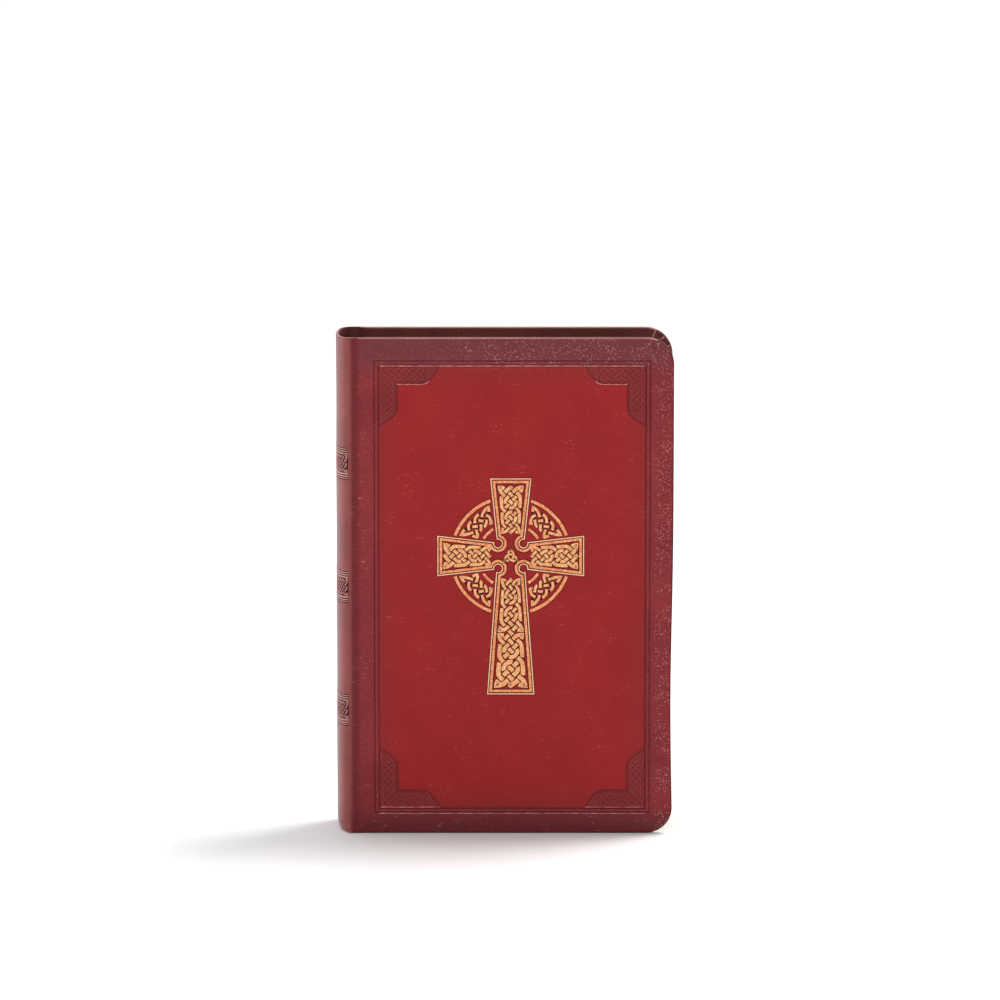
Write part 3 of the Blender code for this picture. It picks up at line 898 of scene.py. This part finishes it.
def strand_runs(nodes, gap, length=0, steps=14):
    """Visible runs of a strand, broken where it passes under another; ends at 0 and `length` are pointed."""
    stations = strand_stations(nodes, length)
    points, marks = [], []
    count = len(stations)
    for index in range(count):
        place, _, leaving, under = stations[index]
        target, arriving, _, _ = stations[(index + 1) % count]
        reach = (target - place).length * 1.05
        if under:
            marks.append(len(points))
        for step in range(steps):
            t = step / steps
            points.append(place * (2 * t ** 3 - 3 * t ** 2 + 1) + leaving * reach * (t ** 3 - 2 * t ** 2 + t)
                          + target * (3 * t ** 2 - 2 * t ** 3) + arriving * reach * (t ** 3 - t ** 2))
    if not marks:
        return [points], True
    points = points[marks[0]:] + points[:marks[0]]
    marks = [mark - marks[0] for mark in marks] + [len(points)]
    runs = []
    for first, last in zip(marks, marks[1:]):
        piece = points[first:last] + [points[last % len(points)]]
        run = [point for point in piece
               if (point - piece[0]).length > gap and (point - piece[-1]).length > gap]
        if len(run) > 2:
            runs.append(run)
    return runs, False


def ribbon_sides(points, halves, closed):
    """Left and right edges of a ribbon, mitred at sharp turns."""
    lefts, rights = [], []
    count = len(points)
    for index, point in enumerate(points):
        before = points[index - 1] if index or closed else point
        after = points[(index + 1) % count] if index < count - 1 or closed else point
        arrive = (point - before if (point - before).length > TINY else after - point).normalized()
        leave = (after - point).normalized() if (after - point).length > TINY else arrive
        normal = Vector((-(arrive + leave).y, (arrive + leave).x))
        normal = normal.normalized() if normal.length > 1e-6 else Vector((-arrive.y, arrive.x))
        stretch = min(1.8, 1.0 / max(0.2, normal.dot(Vector((-arrive.y, arrive.x)))))
        offset = normal * halves[index] * stretch
        lefts.append(point + offset)
        rights.append(point - offset)
    return lefts, rights


def add_ribbon(bm, points, halves, place, low, edge, crown, closed=False, material=0):
    """Flat ribbon with a slightly crowned top; place(x, z, lift) gives a point on the leather.

    `halves` is one half width, or a list of them.
    """
    if isinstance(halves, float):
        halves = [halves] * len(points)
    lefts, rights = ribbon_sides(points, halves, closed)
    rows = []
    for left, point, right in zip(lefts, points, rights):
        shoulder_left = left.lerp(point, 0.22)
        shoulder_right = right.lerp(point, 0.22)
        rows.append([bm.verts.new(place(left.x, left.y, low)), bm.verts.new(place(left.x, left.y, edge)),
                     bm.verts.new(place(shoulder_left.x, shoulder_left.y, crown)),
                     bm.verts.new(place(shoulder_right.x, shoulder_right.y, crown)),
                     bm.verts.new(place(right.x, right.y, edge)), bm.verts.new(place(right.x, right.y, low))])
    pairs = list(zip(rows, rows[1:]))
    if closed:
        pairs.append((rows[-1], rows[0]))
    for first, second in pairs:
        bridge(bm, first, second, material, closed=True)
    if not closed:
        for row in (rows[0], rows[-1]):
            bm.faces.new(row).material_index = material


def on_front(x, z, lift):
    """Point above the outer face of the front cover."""
    return x, -(Y_COVER - relief(x, z) - softness(x, z)) - lift, z


LIFT_INK = 0.015 * MM
LIFT_FOIL = 0.05 * MM
FOIL_THICK = 0.06 * MM


def add_ink(bm, points, halves, place=on_front, closed=False):
    """Scorched leather left round a foil line."""
    add_ribbon(bm, points, halves, place, LIFT_INK - 0.03 * MM, LIFT_INK, LIFT_INK, closed, 1)


def add_foil(bm, points, halves, place=on_front, closed=False, material=0):
    add_ribbon(bm, points, halves, place, LIFT_INK, LIFT_FOIL, LIFT_FOIL + FOIL_THICK, closed, material)


def add_knot(bm, cells, breaks, chart, half, ink=0.0, gap=0.30, place=on_front, length=0):
    """Weave a knot: `chart` maps half-cell counts to x, z and gives the half width of the ribbon."""
    for nodes in trace_knot(cells, breaks):
        if ink:
            for run in strand_runs(nodes, -1.0, length)[0]:
                mapped = [chart(point) for point in run]
                add_ink(bm, [Vector(spot) for spot, _ in mapped],
                        [half * scale + ink for _, scale in mapped], place)
        runs, closed = strand_runs(nodes, gap, length)
        for run in runs:
            mapped = [chart(point) for point in run]
            add_foil(bm, [Vector(spot) for spot, _ in mapped],
                     [half * scale for _, scale in mapped], place, closed)


def panel_chart(across, along, low_end, high_end, low_half, high_half, upright):
    """Chart for a flared arm: `across` by `along` half cells between two ends of given half widths."""
    def chart(point):
        share = point.y / along
        half = low_half + (high_half - low_half) * share
        offset = (point.x / across * 2 - 1) * half
        run = low_end + (high_end - low_end) * share
        spot = (CROSS_X + offset, CROSS_Z + run) if upright else (CROSS_X + run, CROSS_Z + offset)
        return spot, half * 2 / across
    return chart


def lobe_breaks(units, joined):
    """Breaks that open a three-column plait into pairs of round lobes, `units` pairs long."""
    breaks = {}
    for unit in range(units):
        top = unit * 12
        for x in (1, 5):
            breaks[(x, top + 4)] = "v"
            breaks[(x, top + 8)] = "v"
        breaks[(3, top + 6)] = "h"
        if unit:
            breaks[(1, top)] = "H"
            breaks[(5, top)] = "H"
            if not joined:
                breaks[(3, top)] = "h"
    return breaks


# ---------------------------------------------------------------- foil cross
ARM_END = 6.95 * MM
ARM_NECK = 4.82 * MM
FOOT_END = 8.05 * MM
FOOT_NECK = 5.0 * MM
NECK_REACH = 6.6 * MM
PIT = 4.35 * MM                 # keyhole centres in the armpits
PIT_RADIUS = 1.45 * MM
HEAD_REACH = CROSS_TOP - CROSS_Z
FOOT_REACH = CROSS_Z - CROSS_FOOT
KNOT_HALF = 0.45


def arm_half(reach, end_reach, end_half, neck_half):
    return neck_half + (end_half - neck_half) * (reach - NECK_REACH) / (end_reach - NECK_REACH)


def meet_pit(end_reach, end_half, neck_half, inset):
    """Where an arm's side, moved in by `inset`, meets the keyhole circle: (along, across)."""
    radius = PIT_RADIUS + inset
    reach = PIT + radius
    while reach > PIT - radius:
        across = arm_half(reach, end_reach, end_half, neck_half) - inset
        if math.hypot(reach - PIT, across - PIT) <= radius:
            return reach, across
        reach -= 0.02 * MM
    return PIT, PIT + radius


def cross_border(inset):
    """Closed outline of the cross, `inset` inside its edge, clockwise from the upper arm."""
    arms = ((HEAD_REACH, ARM_END, ARM_NECK), (CROSS_HALF, ARM_END, ARM_NECK),
            (FOOT_REACH, FOOT_END, FOOT_NECK), (CROSS_HALF, ARM_END, ARM_NECK))
    turn_to = (lambda along, across: (across, along), lambda along, across: (along, -across),
               lambda along, across: (-across, -along), lambda along, across: (-along, across))
    points = []
    for index, (reach, end_half, neck_half) in enumerate(arms):
        place = turn_to[index]
        start_along, start_across = meet_pit(reach, end_half, neck_half, inset)
        end_across = arm_half(reach, reach, end_half, neck_half) - inset
        points += [place(start_along, -start_across), place(reach - inset, -end_across),
                   place(reach - inset, end_across), place(start_along, start_across)]
        follow = (index + 1) % 4
        next_along, next_across = meet_pit(*arms[follow], inset)
        leave = place(start_along, start_across)
        arrive = turn_to[follow](next_along, -next_across)
        centre = (PIT * math.copysign(1, leave[0]), PIT * math.copysign(1, leave[1]))
        first = math.atan2(leave[1] - centre[1], leave[0] - centre[0])
        last = math.atan2(arrive[1] - centre[1], arrive[0] - centre[0])
        while last < first:
            last += 2 * math.pi
        for step in range(1, 36):
            turn = first + (last - first) * step / 36
            points.append((centre[0] + (PIT_RADIUS + inset) * math.cos(turn),
                           centre[1] + (PIT_RADIUS + inset) * math.sin(turn)))
    return [Vector((CROSS_X + x, CROSS_Z + z)) for x, z in points]


def ring_bounds(radius, quadrant):
    """Angles between which the ring shows at a radius, just clear of the two arms beside it."""
    clear = 0.75 * MM
    side = math.asin((arm_half(radius, CROSS_HALF, ARM_END, ARM_NECK) + clear) / radius)
    arm = (FOOT_REACH, FOOT_END, FOOT_NECK) if quadrant in (2, 3) else (HEAD_REACH, ARM_END, ARM_NECK)
    half = arm_half(radius, *arm)
    upright = math.pi / 2 - math.asin((half + clear) / radius)
    return side, upright


def ring_spot(radius, share, quadrant):
    """Point on the ring; quadrants run 0 upper right, 1 upper left, 2 lower left, 3 lower right."""
    side, upright = ring_bounds(radius, quadrant)
    turn = side + (upright - side) * share
    x = radius * math.cos(turn) * (-1 if quadrant in (1, 2) else 1)
    z = radius * math.sin(turn) * (-1 if quadrant in (2, 3) else 1)
    return CROSS_X + x, CROSS_Z + z


def both_ribbons(bm, points, half, closed=False, ink=0.30 * MM, foil=3):
    """A foil line with the scorched edge that the hot stamp leaves round it."""
    add_ink(bm, points, half + ink, closed=closed)
    add_foil(bm, points, half, closed=closed, material=foil)


def add_triquetra(bm):
    """Three-cornered knot at the centre of the ring, one corner up: arcs of three equal circles."""
    radius = 2.02 * MM
    middle = Vector((CROSS_X, CROSS_Z - 0.25 * MM))
    arcs, crossings = [], []
    for heading in (270, 30, 150):
        away = Vector((math.cos(math.radians(heading)), math.sin(math.radians(heading))))
        centre = middle + away * radius / math.sqrt(3)
        arcs.append([centre + radius * Vector((math.cos(turn), math.sin(turn)))
                     for turn in np.radians(np.linspace(heading + 80, heading + 280, 65))])
        crossings.append(middle + Matrix.Rotation(math.radians(120), 2) @ away * radius * 0.577)
    for arc in arcs:
        add_ink(bm, arc, 0.60 * MM)
    for arc, crossing in zip(arcs, crossings):
        nearest = min(range(len(arc)), key=lambda index: (arc[index] - crossing).length)
        for run in (arc[:nearest], arc[nearest:]):
            run = [point for point in run if (point - crossing).length > 0.50 * MM]
            add_foil(bm, run, 0.36 * MM)


def build_cross():
    bm = bmesh.new()
    both_ribbons(bm, cross_border(0.10 * MM), 0.20 * MM, True, 0.22 * MM, 2)
    both_ribbons(bm, cross_border(1.12 * MM), 0.45 * MM, True, 0.34 * MM)
    for quadrant in range(4):
        for radius, half in ((20.4 * MM, 0.56 * MM), (11.15 * MM, 0.52 * MM)):
            arc = [Vector(ring_spot(radius, step / 40, quadrant)) for step in range(41)]
            both_ribbons(bm, arc, half)

        def ring_chart(point, quadrant=quadrant):
            radius = 12.9 * MM + (19.0 - 12.9) * MM * point.x / 4
            return ring_spot(radius, point.y / 8, quadrant), 0.82 * MM
        cells = [(column, row) for column in range(2) for row in range(4)]
        add_knot(bm, cells, {}, ring_chart, 0.58, 0.10 * MM, 0.80)

    for units, joined, low_end, high_end, low_half, high_half, upright in (
            (1, False, 24.2, 7.8, 4.18, 3.18, True), (1, False, -22.9, -6.9, 4.28, 3.28, False),
            (1, False, 22.9, 6.9, 4.28, 3.28, False), (2, True, -7.8, -45.7, 3.08, 5.40, True)):
        cells = [(column, row) for column in range(3) for row in range(6 * units)]
        chart = panel_chart(6, 12 * units, low_end * MM, high_end * MM,
                            low_half * MM, high_half * MM, upright)
        add_knot(bm, cells, lobe_breaks(units, joined), chart, KNOT_HALF, 0.20 * MM, 0.68, length=12 * units)
    add_triquetra(bm)
    cross = finish_mesh("foil_cross_knotwork", bm, (FOIL_KNOT, INK, FOIL_PALE, FOIL), flat_uv, smooth=False,
                        weld=False)
    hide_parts("front_foil_cross")
    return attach(cross, "front_cover")


# ---------------------------------------------------------------- stamped corners of the covers
STAMP_ARM = 20.8 * MM
STAMP_WIDTH = 6.2 * MM
STAMP_END = 5.6 * MM            # length of the rounded end of an arm
STAMP_CELL = 1.27 * MM


def stamp_depth(along):
    """Width of an arm of the corner stamp at a distance from the corner of the frame."""
    past = (along - (STAMP_ARM - STAMP_END)) / STAMP_END
    scallop = 0.0
    if STAMP_WIDTH < along and past < 0:
        scallop = 0.12 * MM * abs(math.sin(along * math.pi / (2.1 * MM)))
    return STAMP_WIDTH * (1.0 - min(1.0, max(0.0, past)) ** 1.85) + scallop


def broken_widths(count, half):
    """Half widths of a pale lip, a painted highlight, that swells and thins along its length."""
    return [half * (0.62 + 0.38 * math.sin(index * 0.83) * math.sin(index * 0.31 + 1.0))
            for index in range(count)]


def build_stamps(prefix, side):
    """Blind-stamped knotwork in the four corners of the frame."""
    outer, inner = frame_lines()
    margin = 0.14 * MM
    bm = bmesh.new()

    def place(x, z, lift):
        return x, side * (Y_COVER - relief(x, z) - softness(x, z) + lift), z

    alongs = [0.02 * MM] + [STAMP_ARM * step / 80 for step in range(1, 77)]
    alongs += [STAMP_ARM - STAMP_END * (1 - math.sin(math.radians(turn)))
               for turn in (62, 70, 77, 83, 87, 90)]
    alongs = sorted(alongs)
    across = [0.0, 0.02, 0.045, 0.08, 0.2, 0.35, 0.5, 0.65, 0.8, 0.9, 1.0]
    cells = [(column, row) for column in range(6) for row in range(6) if min(column, row) < 2]
    for corner_x, step_x in ((inner[0] + margin, 1), (inner[1] - margin, -1)):
        for corner_z, step_z in ((inner[2] + margin, 1), (inner[3] - margin, -1)):
            def spot(u, v, corner_x=corner_x, corner_z=corner_z, step_x=step_x, step_z=step_z):
                return Vector((corner_x + step_x * u, corner_z + step_z * v))

            for flip in (False, True):
                rows = []
                for along in alongs:
                    reach = min(along, stamp_depth(along))
                    spots = [spot(share * reach, along) if flip else spot(along, share * reach)
                             for share in across]
                    rows.append([bm.verts.new(place(point.x, point.y, 0.03 * MM)) for point in spots])
                for first, second in zip(rows, rows[1:]):
                    bridge(bm, first, second, 0)
                edge = [along for along in alongs if along > STAMP_WIDTH]
                for drop in (0.0, 0.42 * MM, 1.2 * MM, 2.0 * MM):
                    half = 0.09 * MM if drop else 0.17 * MM
                    kept = edge if drop < MM else [along for along in edge if along > STAMP_ARM - STAMP_END]
                    shifted = [spot(max(0.0, stamp_depth(along) - drop), along - drop) if flip else
                               spot(along - drop, max(0.0, stamp_depth(along) - drop)) for along in kept]
                    add_ribbon(bm, shifted, half, place, 0.0, 0.05 * MM, 0.06 * MM, material=1)
                # Painted highlight: a pale lip along the lower edge of each upper stamp.
                if not flip and step_z < 0:
                    lip = [along for along in edge if along < STAMP_ARM - 0.6 * STAMP_END]
                    run = [spot(along, stamp_depth(along) + 0.24 * MM) for along in lip]
                    add_ribbon(bm, run, broken_widths(len(run), 0.12 * MM), place, 0.0, 0.06 * MM, 0.09 * MM,
                               material=2)

            def chart(point, spot=spot):
                return spot(0.45 * MM + point.x * STAMP_CELL, 0.45 * MM + point.y * STAMP_CELL), STAMP_CELL
            for nodes in trace_knot(cells, {}):
                for run in strand_runs(nodes, 0.62)[0]:
                    mapped = [chart(point)[0] for point in run]
                    for half, lift, material in ((0.56, 0.04 * MM, 1), (0.38, 0.07 * MM, 0)):
                        add_ribbon(bm, mapped, half * STAMP_CELL, place, 0.0, lift, lift + 0.01 * MM,
                                   material=material)
    # Painted highlights: pale lips along the upper inner line, the lower outer line and the lower stamps.
    left_foot, right_foot = (inner[0], inner[0] + STAMP_ARM), (inner[1] - STAMP_ARM, inner[1])
    for ends, z, thick in ((inner[:2], inner[3] - 0.30 * MM, 0.15), (inner[:2], outer[2] - 0.30 * MM, 0.08),
                           (left_foot, inner[2] + 0.42 * MM, 0.13), (right_foot, inner[2] + 0.42 * MM, 0.09)):
        run = [Vector((x, z)) for x in np.linspace(*ends, round((ends[1] - ends[0]) / (0.6 * MM)))]
        add_ribbon(bm, run, broken_widths(len(run), thick * MM), place, 0.0, 0.05 * MM, 0.09 * MM, material=2)
    stamps = finish_mesh(prefix + "_corner_stamps", bm, (STAMPED, TOOLED_AND_EDGE_SHADE, HIGHLIGHT_LIP), flat_uv, smooth=False,
                         weld=False)
    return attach(stamps, prefix + "_cover")


KNOT_HEIGHT = 6.2 * MM          # of the knotwork in a band


def build_spine_knots():
    """Knotwork raised in the three bands across the spine, between pale lips that are painted highlights."""
    bm = bmesh.new()
    cells = [(column, row) for column in range(3) for row in range(19)]
    shares, length = even_shares(401)
    half = length / 2

    def place(u, z, lift):
        share = float(np.interp(u, np.linspace(-half, half, 401), shares))
        edge_fade = min(1.0, max(0.0, (1 - strip_share() - abs(share)) / 0.02))
        lift -= (band_depth(z) + spine_unevenness(z)) * edge_fade
        x, y = Vector(spine_point(share)) + spine_outward(share) * lift
        return x, y, z

    for middle in BANDS:
        def chart(point, middle=middle):
            across = (point.y / 38 * 2 - 1) * (half - 0.3 * MM)
            return (across, middle + (point.x / 6 - 0.5) * KNOT_HEIGHT), 0.95 * MM

        add_knot(bm, cells, {}, chart, 0.33, 0.0, 0.85, place=lambda u, z, lift: place(u, z, lift * 1.5))
        across = np.linspace(-half + 0.1 * MM, half - 0.1 * MM, 90)
        # Painted highlights: pale lips along the lines above and below each band.
        for offset, thick in ((-3.5, 0.19), (-4.32, 0.15), (4.32, 0.14), (3.5, 0.12), (5.05, 0.12),
                              (-5.05, 0.10)):
            run = [Vector((u, middle + offset * MM)) for u in across]
            add_ribbon(bm, run, thick * MM, place, 0.0, 0.06 * MM, 0.10 * MM, material=1)
    knots = finish_mesh("spine_band_knots", bm, (SPINE_RAISED, HIGHLIGHT_LIP), spine_uv, weld=False)
    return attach(knots, "spine")


# ---------------------------------------------------------------- pages
LEAVES = 10
FOLD_ROUND = 5.4 * MM           # how far the fold rounds back; less lets neighbours graze when fanned open
LEAF_CORNER = 6.5 * MM
SECTION_SWELL = 0.11 * MM       # how much each face of a gathering stands out at the fore-edge


def build_section(node, number):
    """One sewn gathering: leaves of slightly uneven cut, folded round at the spine, gilt at the edges."""
    low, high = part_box(node)
    thick = high[1] - low[1]
    hinge_low = number <= 6
    rng = np.random.default_rng(100 + number)
    bm = bmesh.new()
    rows = []
    for leaf in range(LEAVES):
        trim = rng.uniform(0.02, 0.14) * MM
        for edge, share in enumerate((leaf / LEAVES, (leaf + 0.86) / LEAVES)):
            depth = share * thick
            from_hinge = share if hinge_low else 1 - share
            left = low[0] + FOLD_ROUND * (1 - math.sqrt(max(0.0, 1 - from_hinge ** 2))) + 0.02 * MM
            inset = trim if edge == 0 else trim * 0.9
            loop = [(left, low[2] + inset)]
            for centre_z, start in ((low[2] + LEAF_CORNER, -90), (high[2] - LEAF_CORNER, 0)):
                for turn in np.radians(np.linspace(start, start + 90, 13)):
                    loop.append((high[0] - LEAF_CORNER + (LEAF_CORNER - inset) * math.cos(turn),
                                 centre_z + (LEAF_CORNER - inset) * math.sin(turn)))
            loop.append((left, high[2] - inset))
            swell = SECTION_SWELL * (2 * share - 1) / (high[0] - left)
            rows.append([bm.verts.new((x, low[1] + depth + swell * (x - left), z)) for x, z in loop])
    for first, second in zip(rows, rows[1:]):
        bridge(bm, first, second, 1, closed=True)
    bm.faces.new(rows[0])
    bm.faces.new(rows[-1])
    for face in bm.faces:
        centre = face.calc_center_median()
        folded = centre.x < low[0] + FOLD_ROUND + 0.2 * MM and abs(face.normal.z) < 0.9
        if folded and low[2] + MM < centre.z < high[2] - MM:
            face.material_index = 0
    section = finish_mesh(node + "_leaves", bm, (LEAF, GILT), smooth=False, weld=False)
    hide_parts(node)
    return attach(section, node)


def build_worked_band(node):
    """Headband or tailband: silk of two colours wound over a core."""
    low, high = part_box(node)
    radius = (high[2] - low[2]) / 2
    middle_z = (high[2] + low[2]) / 2
    half = (high[1] - low[1]) / 2
    bulge = (high[0] - low[0]) - 2 * radius
    turns = 30
    rings_per_turn = 4
    sides = 14
    bm = bmesh.new()
    rows = []
    for step in range(turns * rings_per_turn + 1):
        y = -half + 2 * half * step / (turns * rings_per_turn)
        x = high[0] - radius - bulge * (1 - (y / half) ** 2)
        swell = 0.90 + 0.09 * math.sin(math.pi * (step % rings_per_turn) / rings_per_turn)
        wound = radius * swell
        rows.append([bm.verts.new((x + wound * math.cos(turn), y, middle_z + wound * math.sin(turn)))
                     for turn in (2 * math.pi * side / sides for side in range(sides))])
    for index, (first, second) in enumerate(zip(rows, rows[1:])):
        bridge(bm, first, second, (index // rings_per_turn) % 2, closed=True)
    bm.faces.new(rows[0])
    bm.faces.new(rows[-1])
    band = finish_mesh(node + "_silk", bm, (RED_SILK, CREAM_SILK))
    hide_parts(node)
    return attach(band, "spine")


# ---------------------------------------------------------------- CAD pieces that stay
def dress(node, material):
    """Give a CAD node its finished material."""
    obj = frame["nodes"][node]
    for index in range(max(1, len(obj.material_slots))):
        if obj.material_slots:
            obj.material_slots[index].material = material
        else:
            obj.data.materials.append(material)


def build_book():
    for prefix, side in (("front", -1), ("back", 1)):
        build_cover(prefix, side)
        build_crease(prefix, side)
        build_stamps(prefix, side)
        dress(prefix + "_board", BOARD)
        dress(prefix + "_pastedown", ENDPAPER)
        dress(prefix + "_flyleaf", ENDPAPER)
    build_spine()
    build_spine_knots()
    build_cross()
    for number in range(1, 13):
        build_section("section_%02d" % number, number)
    build_worked_band("headband")
    build_worked_band("tailband")
    dress("spine_inlay", BOARD)
    dress("spine_mull", GAUZE)
    dress("spine_lining", LINING)


# ---------------------------------------------------------------- floor, light and camera
SUN_FROM = (0.47, 0.29, 1.0)    # about 30 degrees off overhead, right and behind
SUN_POWER = 2.12
WORLD_POWER = 0.90


def add_area_light(name, place, target, size, watts):
    data = bpy.data.lights.new(name, "AREA")
    data.shape = "RECTANGLE"
    data.size, data.size_y = size
    data.energy = watts
    lamp = bpy.data.objects.new(name, data)
    lamp.location = place
    lamp.rotation_euler = (Vector(target) - Vector(place)).to_track_quat("-Z", "Y").to_euler()
    bpy.context.scene.collection.objects.link(lamp)


def build_studio():
    bm = bmesh.new()
    bmesh.ops.create_grid(bm, x_segments=8, y_segments=8, size=6.0)
    floor = finish_mesh("floor", bm, (FLOOR,))
    build_world()
    bpy.context.scene.view_settings.view_transform = "Standard"
    middle = (0.0, 0.0, HEIGHT / 2)
    sun = bpy.data.lights.new("key_overhead", "SUN")
    sun.energy = SUN_POWER
    sun.angle = math.radians(24)
    key = bpy.data.objects.new("key_overhead", sun)
    key.rotation_euler = Vector(SUN_FROM).to_track_quat("Z", "Y").to_euler()
    bpy.context.scene.collection.objects.link(key)
    add_area_light("fill_front", (-0.3, -1.5, 0.95), middle, (1.1, 0.8), 11.5)
    add_area_light("fill_left", (-1.1, 0.15, 0.35), middle, (0.5, 0.9), 3.0)


def build_world():
    """White studio behind and above, dark toward the front."""
    world = bpy.data.worlds.new("studio")
    tree = Tree(world)
    direction = tree.nodes.new("ShaderNodeTexCoord")
    split = tree.nodes.new("ShaderNodeSeparateXYZ")
    tree.links.new(direction.outputs["Generated"], split.inputs["Vector"])
    shade = tree.ramp(tree.maths("MULTIPLY_ADD", split.outputs["Y"], 0.5, 0.5), 0.30, 0.62,
                      (0.26, 0.26, 0.26, 1), (1.0, 1.0, 1.0, 1))
    background = tree.nodes["Background"]
    tree.links.new(shade, background.inputs["Color"])
    background.inputs["Strength"].default_value = WORLD_POWER
    bpy.context.scene.world = world


CAMERA_DISTANCE = 2.6           # from the front cover
CAMERA_LIFT = 0.552             # above the floor
AIM = (-0.0016, 0.1168)         # x and height of the point aimed at, over the front cover
SCALE = 2.916                   # widths of the picture per metre at the front cover


def build_camera():
    data = bpy.data.cameras.new("camera")
    data.sensor_width = 36.0
    reach = math.hypot(CAMERA_DISTANCE, CAMERA_LIFT - AIM[1])
    data.lens = data.sensor_width * SCALE * reach
    data.clip_end = 50.0
    camera = bpy.data.objects.new("camera", data)
    aim = Vector((AIM[0], -Y_COVER, AIM[1]))
    camera.location = (aim.x, -Y_COVER - CAMERA_DISTANCE, CAMERA_LIFT)
    camera.rotation_euler = (aim - camera.location).to_track_quat("-Z", "Y").to_euler()
    bpy.context.scene.collection.objects.link(camera)
    bpy.context.scene.camera = camera


build_book()
build_studio()
build_camera()
bpy.context.view_layer.update()
